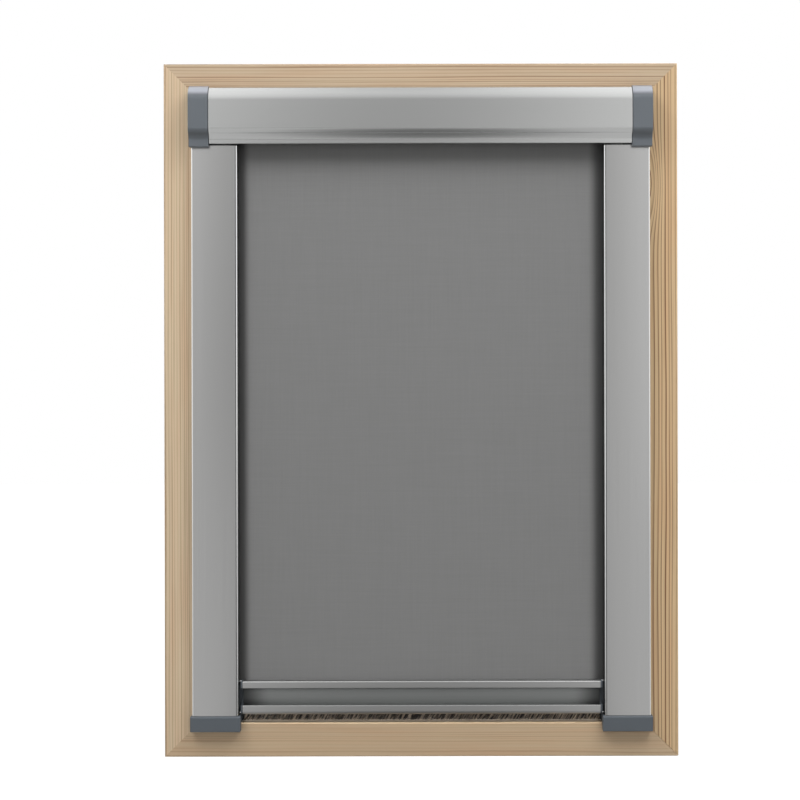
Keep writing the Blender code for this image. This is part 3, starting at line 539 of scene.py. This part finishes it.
def drawShoulderDown(bm, top, radius):
    # The rounded top edge is a little taller than it is deep.
    drawn = (cassette["shoulderHeight"] + radius - cassette["shoulder"]) / radius
    for vert in bm.verts:
        deep, height = vert.co.y / mm + timberDepth, vert.co.z / mm
        if deep < cassette["front"] + cassette["shoulder"] + 0.01 and height > top - radius - 0.01:
            vert.co.z = (top - (top - height) * drawn) * mm


def buildCassetteCover():
    upper, lower = sweepCorners()
    wall, top, bottom, front, back, half = pick(cassette, "wall top bottom front back half")
    lean = math.tan(math.radians(cassette["sweepTurn"]) / 2)
    innerUpper = (upper[0] + wall, upper[1] + wall * lean)
    innerLower = (lower[0] + wall, lower[1] + wall * lean)
    ribFront, ribBack, ribFoot = cassette["rib"]
    hookFront, hookFoot = cassette["hook"]
    outline = [
        (back, top), (front, top), upper, lower, (lower[0], bottom), (cassette["bottomBack"], bottom),
        (cassette["bottomBack"], bottom + wall), (lower[0] + wall, bottom + wall), innerLower, innerUpper,
        (front + wall, top - wall), (ribFront, top - wall), (ribFront, ribFoot), (ribBack, ribFoot),
        (ribBack, top - wall), (hookFront, top - wall), (hookFront, hookFoot), (back, hookFoot),
    ]
    bm = extrudeOutline(outline, "X", -half, half)
    roundLong(bm, "X", [(front, top)], cassette["shoulder"], 20)
    roundLong(bm, "X", [(front + wall, top - wall)], cassette["shoulder"] - wall, 14)
    drawShoulderDown(bm, top, cassette["shoulder"])
    bends = zip((upper, lower, innerUpper, innerLower), cassette["sweepRounding"], (10, 10, 6, 6))
    for spot, radius, segments in (*bends, ((lower[0], bottom), 0.6, 4), ((back, top), 0.4, 3)):
        roundLong(bm, "X", [spot], radius, segments)
    easeEnds(bm, "X", -half, half, cassette["endBreak"], 3)
    # The eased rims at the ends take the painted highlight.
    for face in bm.faces:
        across = abs(face.calc_center_median().x) / mm
        face.material_index = 1 if half - cassette["endBreak"] < across < half - 0.01 else 0
    makePiece("cassetteCover", bm, [aluminiumCassette, arrisPaintedHighlight], "cassette_cover")


buildCassetteCover()

endCap = {
    "inner": 209.9,
    "outer": 229.7,
    "proud": 0.9,
    "bottom": 260.8,
    "bottomBack": -9.6,      # behind it the cap rests on the rail
    "railTop": 263.4,
    "rounding": 0.9,
    "innerBreak": 0.3,
    "sweepRounding": (3.4, 3.8),     # above and below
    "facet": 311.0,          # height above which the shoulder carries the painted highlight
    "facetBack": -6.0,
    "lug": ((203.0, -4.9, 263.4), (210.9, -1.5, 264.3)),     # closes the gap over the rail
}


def buildEndCaps():
    grow = endCap["proud"]
    upper, lower = sweepCorners(grow)
    top, front, back = cassette["top"] + grow, cassette["front"] - grow, cassette["back"]
    bottom, bottomBack, railTop = pick(endCap, "bottom bottomBack railTop")
    outline = [
        (back, top), (front, top), upper, lower, (lower[0], bottom), (bottomBack, bottom),
        (bottomBack, railTop), (back, railTop),
    ]
    for name, side in sides.items():
        start, end = side * endCap["inner"], side * endCap["outer"]
        bm = extrudeOutline(outline, "X", start, end)
        roundLong(bm, "X", [(front, top)], cassette["shoulder"] + grow, 20)
        drawShoulderDown(bm, top, cassette["shoulder"] + grow)
        for spot, radius in zip((upper, lower), endCap["sweepRounding"]):
            roundLong(bm, "X", [spot], radius, 10)
        roundLong(bm, "X", [(lower[0], bottom)], endCap["rounding"], 4)
        easeEnds(bm, "X", start, start, endCap["innerBreak"], 2)
        easeEnds(bm, "X", end, end, endCap["rounding"], 4)
        for face in bm.faces:
            middle = face.calc_center_median() / mm
            paintedHighlight = middle.z > endCap["facet"] and middle.y + timberDepth < endCap["facetBack"]
            face.material_index = 1 if paintedHighlight else 0
        addBlock(bm, side, *endCap["lug"])
        faceOutwards(bm)
        makePiece(f"endCap{name}", bm, [capPlastic, capShoulderPaintedHighlight], f"end_cap_{name.lower()}")


buildEndCaps()

print("rails and foot caps")

rail = {
    "inner": 182.2,
    "outer": 228.0,
    "front": -9.0,
    "outerBack": -0.5,
    "innerBack": 7.0,        # the inner wall reaches down to the channel
    "corner": 1.2,
    "top": 263.1,
    "bottom": -303.7,
    "wall": 1.2,
    "endBreak": 0.15,
    "crown": 0.24,
    "crownCuts": 15,
    "quirk": (1.5, 2.0, 0.45),       # a fine V groove beside the inner corner: from, to and how deep
    "seam": (0.05, 0.5),             # between these depths its faces show black, as painted shade in the groove
}


def crownFace(bm):
    # The flat front becomes a very shallow arch, which brightens towards its outer edge.
    front = (rail["front"] - timberDepth) * mm
    edges = [
        e for e in bm.edges
        if all(abs(v.co.y - front) < 1e-6 for v in e.verts) and abs((e.verts[0].co - e.verts[1].co).x) > 5 * mm
    ]
    bmesh.ops.subdivide_edges(bm, edges=edges, cuts=rail["crownCuts"])
    inner, outer = rail["inner"] + rail["corner"], rail["outer"] - rail["corner"]
    for vert in bm.verts:
        if abs(vert.co.y - front) < 1e-6:
            share = (abs(vert.co.x) / mm - inner) / (outer - inner)
            vert.co.y -= rail["crown"] * 4 * max(share * (1 - share), 0.0) * mm


def paintRail(bm):
    # Painted highlight on the corners, and painted shade in black in the groove
    near, far, _ = rail["quirk"]
    shallow, deep = rail["seam"]
    for face in bm.faces:
        middle = face.calc_center_median() / mm
        depth = middle.y + timberDepth - rail["front"]
        fromEdge = min(abs(middle.x) - rail["inner"], rail["outer"] - abs(middle.x))
        if 0.01 < fromEdge < rail["corner"] and depth < rail["corner"]:
            face.material_index = 1
        elif near < fromEdge < far and shallow < depth < deep:
            face.material_index = 2


def buildRailCovers():
    inner, outer, front, wall = pick(rail, "inner outer front wall")
    innerBack, outerBack, bottom, top = pick(rail, "innerBack outerBack bottom top")
    near, far, deep = rail["quirk"]
    outline = [
        (inner, innerBack), (inner, front), (inner + near, front), (inner + (near + far) / 2, front + deep),
        (inner + far, front), (outer, front), (outer, outerBack), (outer - wall, outerBack),
        (outer - wall, front + wall), (inner + wall, front + wall), (inner + wall, innerBack),
    ]
    for name, side in sides.items():
        bm = extrudeOutline([(side * across, depth) for across, depth in outline], "Z", bottom, top)
        crownFace(bm)
        roundLong(bm, "Z", [(side * inner, front), (side * outer, front)], rail["corner"], 6)
        easeEnds(bm, "Z", bottom, top, rail["endBreak"], 2)
        paintRail(bm)
        makePiece(
            f"railCover{name}", bm, [aluminiumRail, arrisPaintedHighlight, blackPlasticAndPaintedShade], f"rail_cover_{name.lower()}",
        )


buildRailCovers()

footCap = {
    "inner": 180.0,
    "outer": 229.8,
    "front": -10.6,
    "back": -0.5,
    "top": -304.0,
    "bottom": -319.5,
    "chamfer": 1.4,
    "chamferEdge": 0.4,
    "rounding": 1.0,
    "endRounding": 0.7,
    "step": ((180.2, -1.5, -311.7), (222.2, 14.7, -304.2)),      # sits on the sill, between the stiles
    "tab": ((177.0, 13.2, -311.7), (181.0, 14.5, -303.6)),       # reaches behind the brush's end
    "stepBreak": 0.3,
}


def buildFootCaps():
    front, back, top, bottom, chamfer = pick(footCap, "front back top bottom chamfer")
    outline = [(back, bottom), (back, top), (front + chamfer, top), (front, top - chamfer), (front, bottom)]
    for name, side in sides.items():
        start, end = side * footCap["inner"], side * footCap["outer"]
        bm = extrudeOutline(outline, "X", start, end)
        roundLong(bm, "X", [(front, bottom)], footCap["rounding"], 4)
        roundLong(bm, "X", [(front, top - chamfer)], footCap["chamferEdge"], 3)
        easeEnds(bm, "X", start, end, footCap["endRounding"], 4)
        behind = bmesh.new()
        addBlock(behind, side, *footCap["step"])
        addBlock(behind, side, *footCap["tab"])
        faceOutwards(behind)
        roundEdges(behind, list(behind.edges), footCap["stepBreak"] * mm, 2)
        joined = bpy.data.meshes.new("step")
        behind.to_mesh(joined)
        behind.free()
        bm.from_mesh(joined)
        bpy.data.meshes.remove(joined)
        makePiece(f"footCap{name}", bm, [footPlastic], f"foot_cap_{name.lower()}")


buildFootCaps()

print("bottom bar")

bar = {
    "half": 178.3,
    "top": -270.0,
    "front": -4.5,
    "back": 15.0,
    "bottom": -303.3,
    "lipBottom": -277.0,
    "lowerLipTop": -294.0,
    "grooveEdge": 6.0,       # depth of the finger groove's floor at its two edges
    "grooveSag": -1.1,       # below zero the floor bulges forwards
    "slit": (2.8, 4.2, -273.4),      # front, back and floor of the slit for the hem
    "slot": (9.2, 12.8, -302.1),     # the T slot for the brush: front, back and roof of its mouth
    "slotHead": (8.2, 13.8, -299.5),         # and of its head
    "foot": 3.6,
    "topRounding": 1.0,
    "lipRounding": 0.5,
    "endBreak": 0.12,
    "matt": (0.6, 9.0),      # the groove's faces are matt, with painted shade, from so far behind the front to this depth
    "arris": (0.7, -3.5, 0.3),       # the upper arrises with the painted highlight: their height, depth and least upward slant
}


def barOutline():
    top, bottom, front, back = pick(bar, "top bottom front back")
    slitFront, slitBack, slitFloor = bar["slit"]
    mouthFront, mouthBack, mouthRoof = bar["slot"]
    headFront, headBack, headRoof = bar["slotHead"]
    apex = (bar["grooveEdge"] + 2 * bar["grooveSag"], (bar["lipBottom"] + bar["lowerLipTop"]) / 2)
    outline = [
        (back, bottom), (back, top), (slitBack, top), (slitBack, slitFloor), (slitFront, slitFloor),
        (slitFront, top), (front, top), (front, bar["lipBottom"]), (bar["grooveEdge"], bar["lipBottom"]), apex,
        (bar["grooveEdge"], bar["lowerLipTop"]), (front, bar["lowerLipTop"]), (front, bottom),
        (mouthFront, bottom), (mouthFront, mouthRoof), (headFront, mouthRoof), (headFront, headRoof),
        (headBack, headRoof), (headBack, mouthRoof), (mouthBack, mouthRoof), (mouthBack, bottom),
    ]
    return outline, apex


def roundBar(bm, apex):
    front = bar["front"]
    reach = math.hypot(2 * bar["grooveSag"], (bar["lipBottom"] - bar["lowerLipTop"]) / 2)
    roundLong(bm, "X", [apex], reach * 0.985, 16)        # a little short of the whole floor
    roundLong(bm, "X", [(front, bar["bottom"])], bar["foot"], 10)
    roundLong(bm, "X", [(front, bar["top"])], bar["topRounding"], 5)
    roundLong(bm, "X", [(front, bar["lipBottom"]), (front, bar["lowerLipTop"])], bar["lipRounding"], 4)


def paintBar(bm):
    mattFrom, mattTo = bar["matt"]
    arrisHeight, arrisDepth, arrisSlant = bar["arris"]
    for face in bm.faces:
        middle = face.calc_center_median() / mm
        depth = middle.y + timberDepth
        inGroove = bar["lowerLipTop"] < middle.z < bar["lipBottom"] and bar["front"] + mattFrom < depth < mattTo
        upper = any(0 < corner - middle.z < arrisHeight for corner in (bar["top"], bar["lowerLipTop"]))
        # Groove faces take the matt tone with painted shade; upward-facing upper arrises take the painted
        # highlight.
        if inGroove and abs(middle.x) < bar["half"] - 0.01:
            face.material_index = 1
        elif upper and depth < arrisDepth and face.normal.z > arrisSlant:
            face.material_index = 2


def buildBottomBar():
    outline, apex = barOutline()
    half = bar["half"]
    bm = extrudeOutline(outline, "X", -half, half)
    roundBar(bm, apex)
    easeEnds(bm, "X", -half, half, bar["endBreak"], 2)
    paintBar(bm)
    makePiece(
        "bottomBar", bm, [aluminiumBar, paintedShadeGroove, arrisPaintedHighlight], "bottom_bar",
        "bar_assembly",
    )


buildBottomBar()

print("cloth")

clothSheet = {
    "top": 271.6,
    "bottom": -271.0,
    "half": 191.5,
    "field": 3.5,            # depth of the flat middle
    "bendStart": 172.0,
    "bendFull": 178.0,
    "bendEnd": 182.5,
    "bendFlat": 187.0,
    "slope": 0.77,
    "thickness": 0.4,
    "hemHalf": 171.0,        # only the cloth between its margins goes down into the bar
    "marginBottom": -269.5,
    "besideBar": 180.9,
    "columns": 150,
    "rows": 140,
    "leadRows": 24,
    "crowding": 0.62,        # below 1 the columns lie closer together towards the margins
    "ripple": 0.12,
    "rippleScale": (0.006, 0.004),   # per mm, across and down
    "calm": ((180.0, 40.0), (271.0, 30.0)),      # where the ripple ends, across and up, and over what length
}

roll = {
    "depth": 15.65,
    "height": 285.5,
    "inside": 11.03,
    "turns": 1.25,
    "pitch": 0.42,
    "thickness": 0.36,       # a little under the pitch, so that the turns don't touch
    "steps": 120,
}


def smoothArea(value, low, high):
    # The area under a smooth step from low to high, up to value
    share = min(max((value - low) / (high - low), 0.0), 1.0)
    return (high - low) * (share ** 3 - share ** 4 / 2) + max(value - high, 0.0)


def clothDepth(across, height):
    # The margins run in the rails' slots, so the cloth bends backwards beside the rails.
    sheet = clothSheet
    away = abs(across)
    drawn = sheet["slope"] * (
        smoothArea(away, sheet["bendStart"], sheet["bendFull"])
        - smoothArea(away, sheet["bendEnd"], sheet["bendFlat"])
    )
    calm = 1.0
    for value, (stop, run) in zip((away, height), sheet["calm"]):
        calm *= min(max((stop - value) / run, 0.0), 1.0)
    wide, tall = sheet["rippleScale"]
    ripple = noise.noise(Vector((across * wide, 3.0, height * tall))) * sheet["ripple"] * calm
    return sheet["field"] + drawn + ripple


def leadDepth(across, height):
    # The margins lie on the roll until they reach the depth of the slots.
    reach = roll["depth"] - clothSheet["field"]
    drop = roll["height"] - height
    deep = clothDepth(across, height)
    return deep if drop >= reach else min(deep, roll["depth"] - math.sqrt(reach ** 2 - drop ** 2))


def hangSheet(top, bottom, rows, depthAt):
    sheet = clothSheet
    bm = bmesh.new()
    bmesh.ops.create_grid(bm, x_segments=sheet["columns"], y_segments=rows, size=0.5)
    for vert in bm.verts:
        share = vert.co.x * 2
        across = math.copysign(abs(share) ** sheet["crowding"], share) * sheet["half"]
        height = bottom + (vert.co.y + 0.5) * (top - bottom)
        vert.co = place(across, depthAt(across, height) - sheet["thickness"] / 2, height)
    return bm


def thicken(bm):
    growFaces(bm, list(bm.faces), (0, clothSheet["thickness"] * mm, 0), keep=True)
    faceOutwards(bm)
    for face in bm.faces:
        face.material_index = 0 if face.normal.y < -0.3 else 1


def buildCloth():
    sheet = clothSheet
    bm = hangSheet(sheet["top"], sheet["bottom"], sheet["rows"], clothDepth)
    corners = [
        face for face in bm.faces
        if face.calc_center_median().z < sheet["marginBottom"] * mm
        and sheet["hemHalf"] * mm < abs(face.calc_center_median().x) < sheet["besideBar"] * mm
    ]
    bmesh.ops.delete(bm, geom=corners, context="FACES")
    thicken(bm)
    cloth = makePiece(
        "blackoutCloth", bm, [clothFace, clothBack], "fabric_panel", sharp=60, weigh=False
    )
    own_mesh(cloth)

    bm = hangSheet(roll["height"], sheet["top"], sheet["leadRows"], leadDepth)
    thicken(bm)
    lead = makePiece(
        "clothLead", bm, [clothFace, clothBack], "fabric_lead", sharp=60, weigh=False
    )

    # The wound turns: a spiral whose outer end lies at the front, where the lead leaves it
    bm = bmesh.new()
    bmesh.ops.create_grid(bm, x_segments=24, y_segments=roll["steps"], size=0.5)
    for vert in bm.verts:
        turns = (vert.co.y + 0.5) * roll["turns"]
        angle = math.tau * (turns - roll["turns"])
        outward = Vector((0, -math.cos(angle), math.sin(angle)))
        radius = roll["inside"] + roll["pitch"] * turns
        vert.co = place(vert.co.x * 2 * sheet["half"], roll["depth"], roll["height"]) + outward * radius * mm
    bmesh.ops.solidify(bm, geom=list(bm.faces), thickness=roll["thickness"] * mm)
    faceOutwards(bm)
    wound = makePiece(
        "clothRoll", bm, [clothFace], "fabric_roll", "roller_assembly", sharp=50, weigh=False
    )
    return cloth, lead, wound


cloth, clothLead, clothRoll = buildCloth()

print("brush and brake pads")

brush = {
    "half": 177.9,
    "lean": -6.0,            # how far the tips lie to the left of the roots
    "tuftLean": 1.2,         # how much neighbouring tufts differ in lean
    "hairLean": 0.5,         # and the hairs in a tuft
    "reach": 179.4,          # the last tufts lean out to the foot caps
    "upright": 16.0,         # over this length at the right end the hairs straighten up
    "bend": (-0.2, 0.3),
    "uneven": 1.2,           # how much the hairs' lengths differ
    "thick": (0.7, 0.95),    # a hair's foot, in shares of its cell
    "steps": ((0.02, 0.95), (0.45, 0.9), (0.8, 0.8), (1.0, 0.4)),    # how far down, and how much narrower
    "front": 9.7,
    "back": 12.3,
    "root": -300.6,
    "roof": -299.9,
    "tips": -311.7,
    "columns": 900,
    "rows": 2,
}


def buildBrush():
    # Each cell of a thin backing grows two tapered three-sided strands, which lean and bend a little and end
    # at uneven heights. Real bristles are 0.1 mm thick, and a tuft of a few is drawn as one.
    rng = random.Random(21)
    bm = bmesh.new()
    bmesh.ops.create_grid(bm, x_segments=brush["columns"], y_segments=brush["rows"], size=0.5)
    for vert in bm.verts:
        deep = brush["front"] + (vert.co.y + 0.5) * (brush["back"] - brush["front"])
        vert.co = place(vert.co.x * 2 * brush["half"], deep, brush["root"])
    bmesh.ops.triangulate(bm, faces=list(bm.faces))
    tips = list(bm.faces)
    growFaces(bm, tips, (0, 0, (brush["roof"] - brush["root"]) * mm), keep=True)
    length = brush["root"] - brush["tips"]
    strands = []
    for cell in tips:
        across = cell.calc_center_median().x / mm
        tuft = brush["lean"] + brush["tuftLean"] * noise.noise(Vector((across * 0.35, 0.5, 0.0)))
        last = max((across - brush["half"] + brush["upright"]) / brush["upright"], 0.0)
        lean = rng.gauss(tuft, brush["hairLean"]) * (1 - last) + (brush["reach"] - brush["half"]) * last
        strands.append({
            "lean": max(lean, -brush["reach"] - across), "bend": rng.uniform(*brush["bend"]),
            "drop": length - rng.uniform(0, brush["uneven"]), "thick": rng.uniform(*brush["thick"]),
        })
    done = 0.0
    for share, taper in brush["steps"]:
        tips = bmesh.ops.extrude_discrete_faces(bm, faces=tips)["faces"]
        for face, strand in zip(tips, strands):
            centre = face.calc_center_median()
            shift = Vector((
                strand["lean"] * (share ** 1.5 - done ** 1.5), strand["bend"] * (share ** 2 - done ** 2),
                -strand["drop"] * (share - done),
            )) * mm
            width = taper * (strand["thick"] if done == 0.0 else 1.0)
            for vert in face.verts:
                vert.co = centre + (vert.co - centre) * width + shift
        done = share
    faceOutwards(bm)
    makePiece("brushPile", bm, [bristle], "brush_pile", "bar_assembly", weigh=False)


brakePad = {
    "inner": 185.0,
    "outer": 192.0,
    "front": 12.0,
    "back": 13.2,
    "top": -283.0,
    "bottom": -293.0,
    "edge": 0.12,            # in shares of its size
    "uneven": 0.08,
}


def buildBrakePads():
    # Die-cut felt with a slightly uneven face
    inner, outer, front, back, top, bottom = pick(brakePad, "inner outer front back top bottom")
    size = (outer - inner, back - front, top - bottom)
    for name, side in sides.items():
        bm = bmesh.new()
        bmesh.ops.create_cube(bm, size=1.0)
        roundEdges(bm, list(bm.edges), brakePad["edge"], 2)
        bmesh.ops.subdivide_edges(bm, edges=list(bm.edges), cuts=3, use_grid_fill=True)
        middle = place(side * (inner + outer) / 2, (front + back) / 2, (top + bottom) / 2)
        for vert in bm.verts:
            spot = Vector([vert.co[i] * size[i] for i in range(3)])
            sunk = brakePad["uneven"] * (1 + noise.noise(spot * 1.7))
            vert.co = middle + (spot - spot.normalized() * sunk) * mm
        faceOutwards(bm)
        makePiece(
            f"feltPad{name}", bm, [felt], f"brake_pad_{name.lower()}", "bar_assembly", sharp=70,
            weigh=False,
        )


buildBrush()
buildBrakePads()

print("carried-over pieces")

finishes = (
    (aluminiumCassette, ("cassette_base", "roller_tube")),
    (aluminiumRail, ("rail_channel",)),
    (steel, ("bracket", "rail_screw", "spring_shaft", "torsion_spring", "idle_pin", "brake_spring")),
    (blackPlasticAndPaintedShade, ("spring_anchor", "spring_plug", "idle_plug", "hem_spline", "brush_backing")),
    (footPlastic, ("bar_end",)),
    (beech, ("corner_key",)),
)
for name, node in nodes.items():
    for material, starts in finishes:
        if name.startswith(starts):
            for nodeSlot in node.material_slots:
                nodeSlot.material = material

print("studio")

# Metres and watts. What the metal mirrors goes by direction: 0 is straight ahead and 1 is square to it.
studio = {
    "ambient": 0.22,
    "dip": 0.10,             # straight in front the mirrored room is dark
    "dipWidth": 0.235,       # so far aside it is white again
    "dipCentre": (-0.055, -0.008),       # the dip's middle, level with the camera and dipHeight above it
    "dipHeight": 0.17,
    "sky": (0.1, 0.92, 2.75),        # from here to here upwards it gets brighter, up to so many times
    "behind": 0.5,           # and it is white again this far round the back
    "brightest": 1.25,
    "floorHeight": -0.346,
    "floorHalf": 6.0,
    "floorPaper": "#c0c0be",
    "floorFaint": 0.3,       # the share of the light that keeps the object's shadow
    "floorGlow": (0.84, 1.0),    # as the camera sees it, near and far off
    "floorReach": (0.7, 2.2),
    "floorMirrored": (0.17, 0.66),       # as the metal sees it, from the middle outwards
    "floorMirroredWidth": 0.23,
    "floorMirroredRise": 2.3,
    "lowFill": {"from": (0, -2.3, 0.3), "to": (0, 0, 0), "size": (2.0, 0.8), "watts": 2.0},
    "softbox": {"from": (0.95, -1.25, 1.75), "to": (0.1, 0, 0.05), "size": (1.2, 1.2), "watts": 22.2},
    "overhead": {"from": (0.8, -0.35, 1.5), "to": (0.5, -0.2, 0), "size": (1.2, 1.8), "watts": 9.6},
    "gains": {"Left": 1.0, "Right": 1.04},
}


def aimLight(name, light, side=1, gain=1.0):
    lamp = bpy.data.lights.new(name, "AREA")
    lamp.shape = "RECTANGLE"
    lamp.size, lamp.size_y = light["size"]
    lamp.energy = light["watts"] * gain
    lit = addObject(name, lamp)
    start, end = (Vector((side * spot[0], *spot[1:])) for spot in pick(light, "from to"))
    lit.location = start
    lit.rotation_euler = (end - start).to_track_quat("-Z", "Y").to_euler()
    lit.visible_glossy = False        # the metal mirrors only the room and the floor


# A soft box at each side, above the camera, a panel overhead at each side, and a weak low fill
aimLight("lowFill", studio["lowFill"])
for name, side in sides.items():
    aimLight(f"softbox{name}", studio["softbox"], side, studio["gains"][name])
    aimLight(f"overhead{name}", studio["overhead"], side, studio["gains"][name])


def buildWorld():
    world = bpy.data.worlds.new("paleStudio")
    bpy.context.scene.world = world
    world.use_nodes = True
    tree = world.node_tree
    tree.nodes.clear()
    path = addNode(tree, "LightPath")
    way = addNode(tree, "TexCoord")["Generated"]
    split = addNode(tree, "SeparateXYZ", {}, {0: way})
    low, high = studio["dipCentre"]
    centre = addNode(
        tree, "MapRange", {"From Max": studio["dipHeight"], "To Min": low, "To Max": high},
        {"Value": split["Z"]},
    )[0]
    offset = addNode(tree, "Math", "SUBTRACT", {0: split["X"], 1: centre})[0]
    sideways = addNode(tree, "Math", "ABSOLUTE", {0: offset})[0]
    beside = addNode(
        tree, "MapRange", {"From Max": studio["dipWidth"], "To Min": studio["dip"]}, {"Value": sideways}
    )[0]
    low, high, gain = studio["sky"]
    above = addNode(
        tree, "MapRange", {"From Min": low, "From Max": high, "To Min": 1.0, "To Max": gain},
        {"Value": split["Z"]},
    )[0]
    behind = addNode(tree, "MapRange", {"From Max": studio["behind"]}, {"Value": split["Y"]})[0]
    level = addNode(tree, "Math", "MULTIPLY", {0: beside, 1: above})[0]
    level = addNode(tree, "Math", "MAXIMUM", {0: level, 1: behind})[0]
    level = addNode(tree, "Math", {"operation": "MINIMUM", 1: studio["brightest"]}, {0: level})[0]
    soft = addNode(tree, "Background", {"Color": (1, 1, 1, 1), "Strength": studio["ambient"]})
    reflected = addNode(tree, "Background", {"Color": (1, 1, 1, 1)}, {"Strength": level})
    white = addNode(tree, "Background", {"Color": (1, 1, 1, 1)})
    glossy = addNode(tree, "Math", "MAXIMUM", {0: path["Is Glossy Ray"], 1: path["Is Transmission Ray"]})[0]
    mixed = addNode(tree, "MixShader", {}, {0: glossy, 1: soft[0], 2: reflected[0]})
    final = addNode(tree, "MixShader", {}, {0: path["Is Camera Ray"], 1: mixed[0], 2: white[0]})
    addNode(tree, "OutputWorld", {}, {"Surface": final[0]})


def buildFloor():
    # A pale floor that shows white, apart from a soft share of the object's shadow.
    material = bpy.data.materials.new("PalePaperFloor")
    material.use_nodes = True
    tree = material.node_tree
    tree.nodes.clear()
    path = addNode(tree, "LightPath")
    spot = addNode(tree, "TexCoord")["Object"]
    away = addNode(tree, "VectorMath", "LENGTH", {0: spot})["Value"]
    split = addNode(tree, "SeparateXYZ", {}, {0: spot})
    aside = addNode(tree, "Math", "ABSOLUTE", {0: split["X"]})[0]
    # Far off the glow makes up for the lamps' fall, so that no horizon shows
    near, far = studio["floorReach"]
    low, high = studio["floorGlow"]
    seenGlow = addNode(
        tree, "MapRange", {"From Min": near, "From Max": far, "To Min": low, "To Max": high},
        {"Value": away},
    )[0]
    outward = addNode(tree, "MapRange", {"From Max": studio["floorMirroredWidth"]}, {"Value": aside})[0]
    outward = addNode(tree, "Math", {"operation": "POWER", 1: studio["floorMirroredRise"]}, {0: outward})[0]
    low, high = studio["floorMirrored"]
    mirroredGlow = addNode(tree, "MapRange", {"To Min": low, "To Max": high}, {"Value": outward})[0]
    paper = addNode(tree, "BsdfDiffuse", {"Color": toLinear(studio["floorPaper"])})
    faint = addNode(tree, "BsdfDiffuse", {"Color": (*[studio["floorFaint"]] * 3, 1)})
    seenPaper = addNode(tree, "Emission", {}, {"Strength": seenGlow})
    shown = addNode(tree, "AddShader", {}, {0: faint[0], 1: seenPaper[0]})
    mirrored = addNode(tree, "Emission", {}, {"Strength": mirroredGlow})
    seen = addNode(tree, "Math", "MAXIMUM", {0: path["Is Camera Ray"], 1: path["Is Transmission Ray"]})[0]
    both = addNode(tree, "MixShader", {}, {0: seen, 1: paper[0], 2: shown[0]})
    final = addNode(tree, "MixShader", {}, {0: path["Is Glossy Ray"], 1: both[0], 2: mirrored[0]})
    addNode(tree, "OutputMaterial", {}, {"Surface": final[0]})
    bm = bmesh.new()
    bmesh.ops.create_grid(bm, x_segments=1, y_segments=1, size=studio["floorHalf"])
    bmesh.ops.translate(bm, verts=bm.verts, vec=(0, 0, studio["floorHeight"]))
    mesh = bpy.data.meshes.new("floor")
    bm.to_mesh(mesh)
    bm.free()
    mesh.materials.append(material)
    addObject("floor", mesh)


buildWorld()
buildFloor()

camera = {
    "distance": 1.65,        # metres, from the timber's front face
    "lens": 74.35,
    "sensor": 36,
    "shift": (-0.02625, 0.0125),
    "roll": 0.12,
}


def buildCamera():
    data = bpy.data.cameras.new("camera")
    data.lens = camera["lens"]
    data.sensor_width = camera["sensor"]
    data.shift_x, data.shift_y = camera["shift"]
    view = addObject("camera", data)
    view.location = (0, -timberDepth * mm - camera["distance"], 0)
    view.rotation_euler = (math.radians(90), math.radians(camera["roll"]), 0)
    bpy.context.scene.camera = view


buildCamera()
bpy.context.scene.view_settings.view_transform = "Standard"
